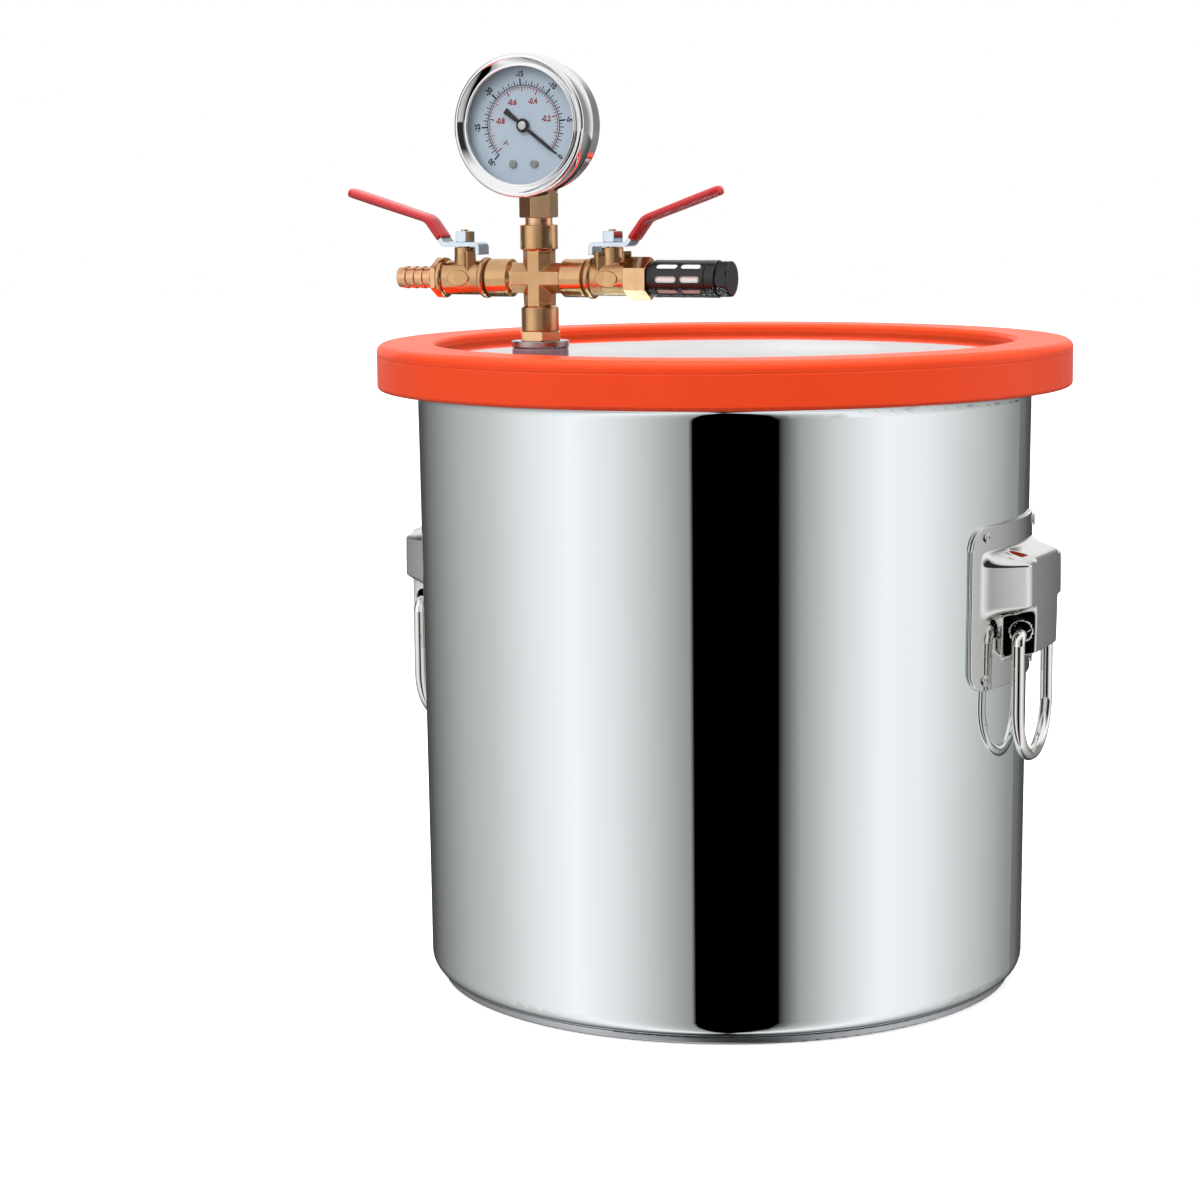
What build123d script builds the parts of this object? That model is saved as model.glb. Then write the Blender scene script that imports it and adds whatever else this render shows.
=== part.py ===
from build123d import *
from math import asin, cos, degrees, radians, sin, sqrt
import os

os.makedirs("parts", exist_ok=True)

# A vacuum degassing chamber: a deep drawn steel pot with a clear lid held in a
# rubber ring. On the lid stands a manifold: a threaded port, a four way cross,
# two ball valves, an inlet filter and a vacuum gauge. Millimetres, +Z up, with
# the origin at the centre of the underside. The handles are on the X axis and
# the gauge looks along -Y.

# Clearances
turning_gap = 0.05
thread_gap = 0.05
push_gap = 0.1
slack_gap = 0.3

# Pot and its capsule base
base_inset = 5.7
base_thickness = 3.5
base_edge = 1.2
pot_top_radius = 149.5
pot_bottom_radius = 147.2
pot_depth = 289.0
pot_wall = 1.5
pot_corner = 8.0
flange_width = 7.8
flange_bend = 5.0

# Lid and the ring that holds it
lid_overhang = 5.2
lid_thickness = 12.0
lid_edge = 0.8
ring_wall = 6.5
ring_lower_lip = 4.5
ring_upper_lip = 4.3
ring_skirt = 1.2
ring_upper_reach = 21.5
ring_lower_reach = 12.5
ring_corner = 3.8

# Handles
plate_width = 100.0
plate_height = 77.0
plate_corner = 11.0
plate_sheet = 1.5
plate_centre_z = 192.5
rivet_inset_y = 12.0
rivet_inset_z = 5.0
rivet_radius = 1.5
rivet_head_radius = 2.8
rivet_head_height = 1.1
dome_reach = 14.0
dome_height = 54.0
dome_width = 47.0
dome_draft = 5.5
dome_corner = 5.0
wing_width = 76.0
wing_height = 33.0
wing_draft = 13.0
ring_rod = 3.0
ring_half_width = 25.0
ring_length = 60.5
ring_bend = 5.0
ring_pin = 6.0
ring_hole = 4.7
ring_drop = 13.5
ring_stand_off = 8.3

# Port through the lid
port_x = -48.0
port_inset = 54.5
pipe_thread = 6.58
pipe_bore = 4.0
thread_reach = 10.0
seal_radius = 13.0
seal_thickness = 6.0
washer_radius = 13.25
washer_thickness = 3.0
nipple_flats = 17.5
nipple_hex = 4.3
lower_seal_radius = 12.0
lower_seal_thickness = 3.0
lower_washer_radius = 12.5
lower_washer_thickness = 1.5
lock_nut_flats = 19.0
lock_nut_height = 6.0
nipple_tail = 1.5

# Cross
cross_reach = 24.3
cross_flats = 13.8
cross_collar_radius = 8.75
cross_collar_length = 12.0
cross_collar_chamfer = 1.2

# Ball valves, measured outwards from the middle of the cross
valve_start = 25.3
valve_radius = 7.9
bead_radius = 9.4
bead_width = 3.0
left_stem_at = 38.0
left_valve_end = 50.0
right_stem_at = 36.8
right_valve_end = 45.2
ball_radius = 5.0
ball_bore = 2.9
cavity_radius = 6.0
seat_length = 1.9
seat_start = 3.7
stem_radius = 2.4
stem_flat = 1.7
stem_blade = 1.8
neck_radius = 5.0
neck_height = 14.0
packing_radius = 3.7
packing_height = 3.5
stop_width = 4.6
stop_reach = 8.6
stop_height = 12.2
boss_length = 11.0
boss_height = 7.0
boss_proud = 0.6

# Levers
lever_lift = 14.4
lever_sheet = 2.0
lever_width = 10.5
lever_tail_at = 8.7
lever_tail_drop = 4.8
lever_knee = 8.8
lever_crest_at = 17.5
lever_crest_rise = 11.6
lever_tip_rise = 24.5
left_lever_reach = 60.0
right_lever_reach = 53.5
lever_bend = 1.6
sleeve_start = 11.0
sleeve_wall = 0.9
sleeve_end_wall = 1.4
lever_nut_flats = 8.7
lever_nut_height = 5.0
stem_tip = 0.8

# Hose barb
barb_hex_flats = 16.0
barb_hex = 2.6
barb_crest = 5.2
barb_root = 4.7
barb_land = 1.0
barb_pitch = 4.4
barb_neck = 1.6
barb_count = 4
barb_bore = 2.9

# Inlet filter on its hexagon
hex_end_flats = 17.0
hex_end_length = 10.8
filter_thread = 4.85
filter_stub = 7.0
filter_bore = 2.5
filter_collar_radius = 7.4
filter_collar = 2.2
cage_radius = 8.45
cage_wall = 1.6
cage_length = 26.0
slot_length = 10.4
slot_width = 3.0
slot_spacing = 12.0
slot_first = 2.4
slot_count = 8
element_bore = 3.5
cap_length = 11.0
cap_spigot = 2.0
cap_flats = 15.8
cap_facet_length = 6.0
cap_chamfer = 1.6

# Gauge, measured outwards from the stem towards the reader
gauge_neck_radius = 6.35
gauge_neck = 3.2
gauge_hex_flats = 15.5
gauge_hex = 11.5
case_radius = 30.0
case_wall = 1.2
case_back = 5.0
case_bend = 3.0
bezel_radius = 32.2
bezel_front = 20.0
bezel_opening = 26.3
bezel_lip = 1.0
bezel_skirt = 9.4
bezel_round = 2.6
window_thickness = 1.6
dial_thickness = 0.7
dial_space = 2.5
dial_hole = 1.6
dial_screw_x = 5.3
dial_screw_z = 17.2
dial_screw_head = 1.9
dial_screw_head_height = 0.8
dial_screw_shank = 0.8
dial_screw_length = 4.0
dial_post_radius = 1.8
pointer_length = 21.0
pointer_tail = 11.0
pointer_width = 1.5
pointer_tail_width = 2.8
pointer_sheet = 0.5
pointer_lift = 0.7
pointer_hub = 3.1
pointer_cap_radius = 1.9
pointer_cap_height = 0.8
pointer_zero = -38.0
socket_block_width = 16.0
socket_block_front = 5.0
socket_block_back = 3.5
socket_block_height = 15.0
arbor_radius = 0.9
arbor_start = 0.6
movement_plate = 1.2
movement_gap = 6.0
movement_width = 18.0
movement_corner = 3.0
movement_foot = 8.0
pillar_radius = 1.5
pillar_inset = 2.6

# Levels and places worked out from the sizes above
rim_z = base_thickness + pot_depth
lid_bottom = rim_z + ring_lower_lip
lid_top = lid_bottom + lid_thickness
ring_top = lid_top + ring_upper_lip
flange_radius = pot_top_radius + flange_width
lid_radius = flange_radius + lid_overhang
port_y = port_inset - lid_radius
base_radius = pot_bottom_radius - base_inset
seal_top = lid_top + seal_thickness
washer_top = seal_top + washer_thickness
cross_bottom = washer_top + nipple_hex
axis_z = cross_bottom + cross_reach
gauge_hex_z = axis_z + cross_reach + gauge_neck
gauge_z = gauge_hex_z + gauge_hex + case_radius
window_back = bezel_front - bezel_lip - window_thickness
dial_face = window_back - dial_space
pivot_z = plate_centre_z - ring_drop
lower_seal_bottom = lid_bottom - lower_seal_thickness
lower_washer_bottom = lower_seal_bottom - lower_washer_thickness
lock_nut_bottom = lower_washer_bottom - lock_nut_height
mid_depth = (plate_centre_z - base_thickness) / pot_depth
wall_at_plate = pot_bottom_radius + (pot_top_radius - pot_bottom_radius) * mid_depth


# ---- Helpers: outlines from corners, and the planes that pieces are turned on

def outline(plane, corners):
    """A closed outline from (x, y, corner radius) points, as a sketch on a plane."""
    points = [(x, y) for x, y, _ in corners]
    radii = [radius for _, _, radius in corners]
    with BuildSketch(plane) as sketch:
        with BuildLine():
            FilletPolyline(*points, radius=radii, close=True)
        make_face()
    return sketch.sketch


def turned(plane, corners, mode=Mode.ADD):
    """Turn (radius, height, corner radius) points about the plane's own Y axis."""
    revolve(outline(plane, corners), axis=Axis(plane.origin, plane.y_dir), mode=mode)


def ring(plane, inner, outer, start, end, edge=0.0):
    """A plain ring between two radii and two heights along the plane's Y axis."""
    corners = [(inner, start, 0), (outer, start, edge), (outer, end, edge), (inner, end, 0)]
    turned(plane, corners)


def bore(plane, radius, start, end):
    """Drill along the plane's Y axis from one height to another."""
    corners = [(0, start, 0), (radius, start, 0), (radius, end, 0), (0, end, 0)]
    turned(plane, corners, mode=Mode.SUBTRACT)


def upright(x, y, z=0):
    """The plane for pieces turned about a vertical line: local Y is up."""
    return Plane((x, y, z), x_dir=(1, 0, 0), z_dir=(0, -1, 0))


def along_pipe(side):
    """The plane for pieces turned about the pipe: local Y runs outwards from the cross."""
    return Plane((port_x, port_y, axis_z), x_dir=(0, 0, 1), z_dir=(0, side, 0))


def hex_block(plane, flats, start, end, chamfer):
    """A hexagon along the plane's Y axis with its corners chamfered at both ends."""
    section = Plane(plane.origin + plane.y_dir * start, x_dir=plane.x_dir, z_dir=plane.y_dir)
    corner = flats / 2 / cos(radians(30))
    length = end - start
    with BuildPart() as block:
        with BuildSketch(section):
            RegularPolygon(flats / 2, 6, major_radius=False)
        extrude(amount=length)
        limits = [
            (0, start, 0), (corner - chamfer, start, 0), (corner, start + chamfer / 2, 0),
            (corner, end - chamfer / 2, 0), (corner - chamfer, end, 0), (0, end, 0),
        ]
        turned(plane, limits, mode=Mode.INTERSECT)
    return block.part


def finish(builder, name):
    """Label a finished piece and write it."""
    builder.part.label = name
    export_step(builder.part, f"parts/{name}.step")


centre_line = upright(0, 0)
port_line = upright(port_x, port_y)
gauge_line = Plane((port_x, port_y, gauge_z), x_dir=(1, 0, 0), z_dir=(0, 0, -1))
gauge_face = Plane((port_x, port_y, gauge_z), x_dir=(1, 0, 0), z_dir=(0, -1, 0))


# ---- Pot

def rivet_places():
    """Angle from the X axis and height of each of a handle's four rivets."""
    angle = degrees(asin((plate_width / 2 - rivet_inset_y) / wall_at_plate))
    reach = plate_height / 2 - rivet_inset_z
    return [(turn, plate_centre_z + rise) for turn in (-angle, angle) for rise in (-reach, reach)]


def wall_radius(z):
    """Outer radius of the pot's tapered wall at a height."""
    share = (z - base_thickness) / pot_depth
    return pot_bottom_radius + (pot_top_radius - pot_bottom_radius) * share


def rivet_plane(side, turn, z):
    """The plane for a rivet: local Y points straight out of the wall."""
    angle = radians(turn) if side > 0 else radians(180 + turn)
    return Plane((0, 0, z), x_dir=(0, 0, 1), z_dir=(-sin(angle), cos(angle), 0))


def make_pot():
    with BuildPart() as pot:
        turned(centre_line, [
            (0, base_thickness, 0),
            (pot_bottom_radius, base_thickness, pot_corner),
            (pot_top_radius, rim_z - pot_wall, flange_bend),
            (flange_radius, rim_z - pot_wall, 0),
            (flange_radius, rim_z, 0),
            (pot_top_radius - pot_wall, rim_z, flange_bend + pot_wall),
            (pot_bottom_radius - pot_wall, base_thickness + pot_wall, pot_corner - pot_wall),
            (0, base_thickness + pot_wall, 0),
        ])
        for side in (1, -1):
            for turn, z in rivet_places():
                plane = rivet_plane(side, turn, z)
                wall = wall_radius(z)
                bore(plane, rivet_radius + turning_gap, wall - 3 * pot_wall, wall + 3 * pot_wall)
    finish(pot, "pot")


def make_base_disc():
    with BuildPart() as base_disc:
        turned(centre_line, [
            (0, 0, 0),
            (base_radius, 0, base_edge),
            (base_radius, base_thickness, base_edge / 2),
            (0, base_thickness, 0),
        ])
    finish(base_disc, "base_disc")


# ---- Handles

def dome_block(inset):
    """The pressed dome as a solid: a narrow body and two wings above the ring's holes."""
    foot = wall_at_plate - plate_sheet - 8
    front = wall_at_plate + plate_sheet + dome_reach - inset
    top = plate_centre_z + dome_height / 2
    body_middle = plate_centre_z
    wing_middle = top - wing_height / 2
    spread = (front - foot) / dome_reach
    blocks = [
        (dome_width, dome_height, dome_draft, body_middle),
        (wing_width, wing_height, wing_draft, wing_middle),
    ]
    with BuildPart() as dome:
        for width, height, draft, middle in blocks:
            foot_width = width + 2 * draft * (spread - 1)
            foot_height = height + draft * (spread - 1)
            with BuildSketch(Plane((foot, 0, middle), x_dir=(0, 1, 0), z_dir=(1, 0, 0))):
                RectangleRounded(foot_width - 2 * inset, foot_height - 2 * inset, dome_corner)
            with BuildSketch(Plane((front, 0, middle), x_dir=(0, 1, 0), z_dir=(1, 0, 0))):
                RectangleRounded(
                    width - 2 * draft - 2 * inset, height - draft - 2 * inset, dome_corner)
            loft()
    return dome.part


def wall_cone(offset, mode):
    """Everything inside the pot's tapered wall plus an offset, over the plate's height."""
    low = plate_centre_z - plate_height
    high = plate_centre_z + plate_height
    turned(centre_line, [
        (0, low, 0),
        (wall_radius(low) + offset, low, 0),
        (wall_radius(high) + offset, high, 0),
        (0, high, 0),
    ], mode=mode)


def make_handle_plate(side, name):
    front = wall_at_plate + plate_sheet + dome_reach + 1
    pivot_x = wall_at_plate + ring_stand_off
    hole_z = pivot_z + ring_hole - ring_rod - slack_gap
    with BuildPart() as handle_plate:
        with BuildSketch(Plane.YZ):
            with Locations((0, plate_centre_z)):
                RectangleRounded(plate_width, plate_height, plate_corner)
        extrude(amount=front)
        wall_cone(push_gap + plate_sheet, Mode.INTERSECT)
        add(dome_block(0))
        wall_cone(push_gap, Mode.SUBTRACT)
        add(dome_block(plate_sheet), mode=Mode.SUBTRACT)
        for turn, z in rivet_places():
            outward = (cos(radians(turn)), sin(radians(turn)), 0)
            with BuildSketch(Plane((0, 0, z), x_dir=(0, 0, 1), z_dir=outward)):
                Circle(rivet_radius + turning_gap)
            extrude(amount=front, mode=Mode.SUBTRACT)
        with BuildSketch(Plane((pivot_x, 0, hole_z), x_dir=(1, 0, 0), z_dir=(0, 1, 0))):
            Circle(ring_hole)
        extrude(amount=wing_width, both=True, mode=Mode.SUBTRACT)
        if side < 0:
            mirror(about=Plane.YZ, mode=Mode.REPLACE)
    finish(handle_plate, name)


def make_handle_rivets(side, name):
    with BuildPart() as rivets:
        for turn, z in rivet_places():
            plane = rivet_plane(side, turn, z)
            inside = wall_radius(z) - pot_wall - 2 * push_gap
            outside = wall_radius(z) + push_gap + plate_sheet + push_gap
            turned(plane, [
                (0, inside - rivet_head_height, 0),
                (rivet_head_radius, inside - rivet_head_height, rivet_head_height * 0.6),
                (rivet_head_radius, inside, 0),
                (rivet_radius, inside, 0),
                (rivet_radius, outside, 0),
                (rivet_head_radius, outside, 0),
                (rivet_head_radius, outside + rivet_head_height, rivet_head_height * 0.6),
                (rivet_radius / 2, outside + rivet_head_height, 0),
                (rivet_radius / 2, outside + rivet_head_height / 2, 0),
                (0, outside + rivet_head_height / 2, 0),
            ])
    finish(rivets, name)


def make_handle_ring(side, name):
    x = side * (wall_at_plate + ring_stand_off)
    tip = ring_half_width - ring_bend - ring_pin
    bottom = pivot_z - ring_length
    with BuildPart() as handle_ring:
        with BuildLine(Plane((x, 0, 0), x_dir=(0, 1, 0), z_dir=(1, 0, 0))) as path:
            FilletPolyline(
                (-tip, pivot_z),
                (-ring_half_width, pivot_z),
                (-ring_half_width, bottom),
                (ring_half_width, bottom),
                (ring_half_width, pivot_z),
                (tip, pivot_z),
                radius=[ring_bend, ring_half_width * 0.98, ring_half_width * 0.98, ring_bend],
            )
        with BuildSketch(Plane(path.line @ 0, z_dir=path.line % 0)):
            Circle(ring_rod)
        sweep()
    finish(handle_ring, name)


# ---- Lid and its ring

def make_lid():
    with BuildPart() as lid:
        turned(centre_line, [
            (0, lid_bottom, 0),
            (lid_radius, lid_bottom, lid_edge),
            (lid_radius, lid_top, lid_edge),
            (0, lid_top, 0),
        ])
        bore(port_line, pipe_thread + slack_gap, lid_bottom - 1, lid_top + 1)
    finish(lid, "lid")


def make_lid_ring():
    groove = lid_radius + slack_gap
    outer = lid_radius + ring_wall
    skirt = flange_radius + 1.2
    with BuildPart() as lid_ring:
        turned(centre_line, [
            (skirt, rim_z - ring_skirt, 0.4),
            (outer, rim_z - ring_skirt, ring_corner / 2),
            (outer, ring_top, ring_corner),
            (lid_radius - ring_upper_reach, ring_top, ring_upper_lip / 2),
            (lid_radius - ring_upper_reach, lid_top, 0),
            (groove, lid_top, 0),
            (groove, lid_bottom, 0),
            (lid_radius - ring_lower_reach, lid_bottom, 0.6),
            (lid_radius - ring_lower_reach, rim_z, 0),
            (skirt, rim_z, 0),
        ])
    finish(lid_ring, "lid_ring")


# ---- Port

def make_port_rings():
    hole = pipe_thread + slack_gap
    rings = [
        ("port_seal", hole, seal_radius, lid_top, seal_top, 1.2),
        ("port_washer", hole, washer_radius, seal_top, washer_top, 0.5),
        ("port_lower_seal", hole, lower_seal_radius, lower_seal_bottom, lid_bottom, 0.5),
        ("port_lower_washer", hole, lower_washer_radius, lower_washer_bottom,
         lower_seal_bottom, 0.2),
    ]
    for name, inner, outer, start, end, edge in rings:
        with BuildPart() as port_ring:
            ring(port_line, inner, outer, start, end, edge)
        finish(port_ring, name)


def make_port_nipple():
    bottom = lock_nut_bottom - nipple_tail
    top = cross_bottom + thread_reach
    with BuildPart() as port_nipple:
        add(hex_block(port_line, nipple_flats, washer_top, cross_bottom, 0.8))
        ring(port_line, 0, pipe_thread, bottom, top)
        bore(port_line, pipe_bore, bottom - 1, top + 1)
    finish(port_nipple, "port_nipple")


def make_port_lock_nut():
    with BuildPart() as port_lock_nut:
        add(hex_block(port_line, lock_nut_flats, lock_nut_bottom, lower_washer_bottom, 1.0))
        bore(port_line, pipe_thread + thread_gap, lock_nut_bottom - 1, lower_washer_bottom + 1)
    finish(port_lock_nut, "port_lock_nut")


# ---- Cross

def make_cross():
    middle = upright(port_x, port_y, axis_z)
    across = along_pipe(1)
    start = cross_reach - cross_collar_length
    with BuildPart() as cross:
        for line in (middle, across):
            section = Plane(line.origin, x_dir=line.x_dir, z_dir=line.y_dir)
            with BuildSketch(section):
                RegularPolygon(cross_flats / 2, 8, major_radius=False, rotation=22.5)
            extrude(amount=cross_reach - 1, both=True)
            for end in (1, -1):
                turned(line, [
                    (0, end * start, 0),
                    (cross_flats / 2, end * start, 0),
                    (cross_collar_radius, end * (start + cross_collar_chamfer), 0),
                    (cross_collar_radius, end * cross_reach, 0.5),
                    (0, end * cross_reach, 0),
                ])
        for line in (middle, across):
            bore(line, pipe_bore, -cross_reach - 1, cross_reach + 1)
            for end in (1, -1):
                bore(line, pipe_thread + thread_gap, end * (cross_reach - thread_reach - 1),
                     end * (cross_reach + 1))
    finish(cross, "cross")


# ---- Ball valves

def make_valve_body(side, stem_at, end, has_end_bead, name):
    line = along_pipe(side)
    stem_x = port_x + side * stem_at
    stem_line = upright(stem_x, port_y, axis_z)
    shank = cross_reach - thread_reach
    cavity = stem_at - seat_start - seat_length
    bead_end = valve_start + bead_width
    body_end = end - bead_width if has_end_bead else end
    with BuildPart() as valve_body:
        ring(line, 0, pipe_thread, shank, valve_start + 1)
        ring(line, 0, bead_radius, valve_start, bead_end, bead_width * 0.4)
        ring(line, 0, valve_radius, valve_start + bead_width / 2, end)
        if has_end_bead:
            ring(line, 0, bead_radius, body_end, end, bead_width * 0.4)
        ring(stem_line, 0, neck_radius, 0, neck_height, 0.4)
        for turn in (-45, 135):
            angle = radians(turn if side < 0 else turn + 90)
            reach = stop_reach / 2
            place = (stem_x + reach * cos(angle), port_y + reach * sin(angle), axis_z)
            with BuildSketch(Plane(place, x_dir=(cos(angle), sin(angle), 0), z_dir=(0, 0, 1))):
                RectangleRounded(stop_reach, stop_width, 0.8)
            extrude(amount=stop_height)
        with BuildSketch(Plane((stem_x, port_y, axis_z), x_dir=(1, 0, 0), z_dir=(0, -1, 0))):
            Ellipse(boss_length / 2, boss_height / 2)
        extrude(amount=valve_radius + boss_proud)
        bore(line, ball_bore, shank - 1, end + 1)
        bore(line, cavity_radius, cavity, end + 1)
        bore(stem_line, stem_radius + turning_gap, 0, neck_height + 1)
        bore(stem_line, packing_radius, neck_height - packing_height, neck_height + 1)
    finish(valve_body, name)


def make_ball(side, stem_at, name):
    stem_x = port_x + side * stem_at
    centre = Plane((stem_x, port_y, axis_z))
    slot = stem_blade + 2 * turning_gap
    with BuildPart() as ball:
        with Locations((stem_x, port_y, axis_z)):
            Sphere(ball_radius)
        with BuildSketch(centre.rotated((0, 90, 0))):
            Circle(ball_bore)
        extrude(amount=2 * ball_radius, both=True, mode=Mode.SUBTRACT)
        with BuildSketch(centre.offset(ball_radius - ball_slot())):
            Rectangle(slot, 3 * ball_radius)
        extrude(amount=ball_radius, mode=Mode.SUBTRACT)
    finish(ball, name)


def ball_slot():
    """Depth of the slot that takes the stem's blade, short of the ball's own bore."""
    return (ball_radius - ball_bore) * 0.7


def make_seats(side, stem_at, name):
    """Two rings hollowed to the ball, one on each side of it."""
    line = along_pipe(side)
    inner = seat_start - ball_radius * 0.2
    radius = (ball_bore + cavity_radius - push_gap) / 2
    depth = cavity_radius - push_gap - ball_bore
    length = seat_start + seat_length - inner
    with BuildPart() as seats:
        with BuildSketch(line) as section:
            for way in (1, -1):
                with Locations((radius, stem_at + way * (inner + length / 2))):
                    Rectangle(depth, length)
            with Locations((0, stem_at)):
                Circle(ball_radius + turning_gap, mode=Mode.SUBTRACT)
        revolve(section.sketch, axis=Axis(line.origin, line.y_dir))
    finish(seats, name)


def make_stem(side, stem_at, name):
    stem_x = port_x + side * stem_at
    shoulder = axis_z + lever_lift
    tip = shoulder + lever_sheet + lever_nut_height + stem_tip
    foot = axis_z + ball_radius + turning_gap
    blade_foot = axis_z + ball_radius - ball_slot() + turning_gap
    with BuildPart() as stem:
        with BuildSketch(Plane((stem_x, port_y, foot))):
            Circle(stem_radius)
        extrude(amount=shoulder - foot)
        with BuildSketch(Plane((stem_x, port_y, shoulder))):
            Circle(stem_radius)
            Rectangle(2 * stem_flat, 3 * stem_radius, mode=Mode.INTERSECT)
        extrude(amount=lever_sheet)
        with BuildSketch(Plane((stem_x, port_y, shoulder + lever_sheet))):
            Circle(stem_flat)
        extrude(amount=tip - shoulder - lever_sheet)
        with BuildSketch(Plane((stem_x, port_y, blade_foot))):
            Circle(stem_radius)
            Rectangle(stem_blade, 3 * stem_radius, mode=Mode.INTERSECT)
        extrude(amount=foot - blade_foot)
    finish(stem, name)


def make_packing(side, stem_at, name):
    stem_line = upright(port_x + side * stem_at, port_y, axis_z)
    with BuildPart() as packing:
        ring(stem_line, stem_radius + turning_gap, packing_radius - turning_gap,
             neck_height - packing_height, neck_height, 0)
    finish(packing, name)


def lever_points(reach, start):
    """The bent strip's middle line from the stem outwards, from a given distance."""
    middle = lever_lift + lever_sheet / 2
    crest = middle + lever_crest_rise
    slope = lever_crest_rise / (lever_crest_at - lever_knee)
    if start < lever_knee:
        first = [(start, middle), (lever_knee, middle)]
    else:
        first = [(start, middle + (start - lever_knee) * slope)]
    return first + [(lever_crest_at, crest), (reach, middle + lever_tip_rise)]


def strip(plane, points, bend, thickness):
    """The side view of a strip bent along a line of points."""
    with BuildSketch(plane) as section:
        for half in (Side.LEFT, Side.RIGHT):
            with BuildLine():
                FilletPolyline(*points, radius=bend)
                offset(amount=thickness / 2, side=half)
            make_face()
    return section.sketch


def lever_plane(side, stem_at):
    """The upright plane through the stem whose local X runs outwards along the pipe."""
    return Plane((port_x + side * stem_at, port_y, axis_z), x_dir=(side, 0, 0), z_dir=(0, -side, 0))


def make_lever(side, stem_at, reach, name):
    plane = lever_plane(side, stem_at)
    tail = lever_lift + lever_sheet / 2 - lever_tail_drop
    points = [(-lever_tail_at, tail)] + lever_points(reach - sleeve_end_wall, -lever_tail_at)
    with BuildPart() as lever:
        extrude(strip(plane, points, lever_bend, lever_sheet), amount=lever_width / 2, both=True)
        with BuildSketch(Plane(plane.origin + Vector(0, 0, lever_lift - 1))):
            Circle(stem_radius + push_gap)
            Rectangle(2 * (stem_flat + push_gap), 3 * stem_radius, mode=Mode.INTERSECT)
        extrude(amount=lever_sheet + 2, mode=Mode.SUBTRACT)
        tips = lever.edges().filter_by(Axis.Y, reverse=True)
        outer = side * (reach - sleeve_end_wall)
        end = plane.origin.X + outer
        corners = [edge for edge in tips if abs(edge.center().X - end) < lever_sheet]
        fillet([edge for edge in corners if abs(abs((edge @ 0).Y - port_y) - lever_width / 2) < 0.01
                and abs((edge @ 1).Y - (edge @ 0).Y) < 0.01
                and edge.length < lever_sheet * 1.5], lever_width * 0.3)
    finish(lever, name)


def make_sleeve(side, stem_at, reach, name):
    plane = lever_plane(side, stem_at)
    inside = lever_points(reach - sleeve_end_wall + push_gap, sleeve_start - 1)
    thickness = lever_sheet + 2 * sleeve_wall
    width = lever_width + 2 * sleeve_wall
    with BuildPart() as sleeve:
        extrude(strip(plane, lever_points(reach, sleeve_start), lever_bend, thickness),
                amount=width / 2, both=True)
        long_edges = sleeve.edges().filter_by(lambda edge: edge.length > sleeve_wall * 4)
        sides = [edge for edge in long_edges if abs((edge @ 0).Y - (edge @ 1).Y) < 0.01]
        fillet(sides, sleeve_wall * 1.2)
        extrude(strip(plane, inside, lever_bend, lever_sheet + 2 * push_gap),
                amount=lever_width / 2 + push_gap, both=True, mode=Mode.SUBTRACT)
    finish(sleeve, name)


def make_lever_nut(side, stem_at, name):
    stem_line = upright(port_x + side * stem_at, port_y, axis_z)
    start = lever_lift + lever_sheet
    with BuildPart() as lever_nut:
        add(hex_block(stem_line, lever_nut_flats, start, start + lever_nut_height, 0.6))
        bore(stem_line, stem_flat + thread_gap, start - 1, start + lever_nut_height + 1)
    finish(lever_nut, name)


def make_valve(side, hand, stem_at, end, has_end_bead, lever_reach):
    make_valve_body(side, stem_at, end, has_end_bead, f"{hand}_valve_body")
    make_ball(side, stem_at, f"{hand}_valve_ball")
    make_seats(side, stem_at, f"{hand}_valve_seats")
    make_stem(side, stem_at, f"{hand}_valve_stem")
    make_packing(side, stem_at, f"{hand}_valve_packing")
    make_lever(side, stem_at, lever_reach, f"{hand}_lever")
    make_sleeve(side, stem_at, lever_reach, f"{hand}_lever_sleeve")
    make_lever_nut(side, stem_at, f"{hand}_lever_nut")


# ---- Hose barb, hexagon and filter

def make_hose_barb():
    line = along_pipe(-1)
    shank = left_stem_at + seat_start + seat_length
    hex_end = left_valve_end + barb_hex
    crests = hex_end + barb_neck
    tip = crests + barb_count * barb_pitch
    with BuildPart() as hose_barb:
        ring(line, 0, cavity_radius - thread_gap, shank, left_valve_end + 0.5)
        add(hex_block(line, barb_hex_flats, left_valve_end, hex_end, 0.6))
        ring(line, 0, barb_root, hex_end - 0.5, crests + 0.5)
        for index in range(barb_count):
            start = crests + index * barb_pitch
            turned(line, [
                (0, start, 0),
                (barb_crest, start, 0),
                (barb_crest, start + barb_land, 0),
                (barb_root, start + barb_pitch, 0),
                (0, start + barb_pitch, 0),
            ])
        bore(line, barb_bore, shank - 1, tip + 1)
    finish(hose_barb, "hose_barb")


def make_hex_end():
    line = along_pipe(1)
    shank = right_stem_at + seat_start + seat_length
    end = right_valve_end + hex_end_length
    with BuildPart() as hex_end:
        ring(line, 0, cavity_radius - thread_gap, shank, right_valve_end + 0.5)
        add(hex_block(line, hex_end_flats, right_valve_end, end, 0.8))
        bore(line, ball_bore, shank - 1, end + 1)
        bore(line, filter_thread + thread_gap, end - filter_stub - 0.5, end + 1)
    finish(hex_end, "hex_end")


def filter_places():
    """Distances along the pipe of the filter's collar, cage and cap."""
    collar = right_valve_end + hex_end_length
    cage = collar + filter_collar
    cap = cage + cage_length
    return collar, cage, cap


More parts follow.
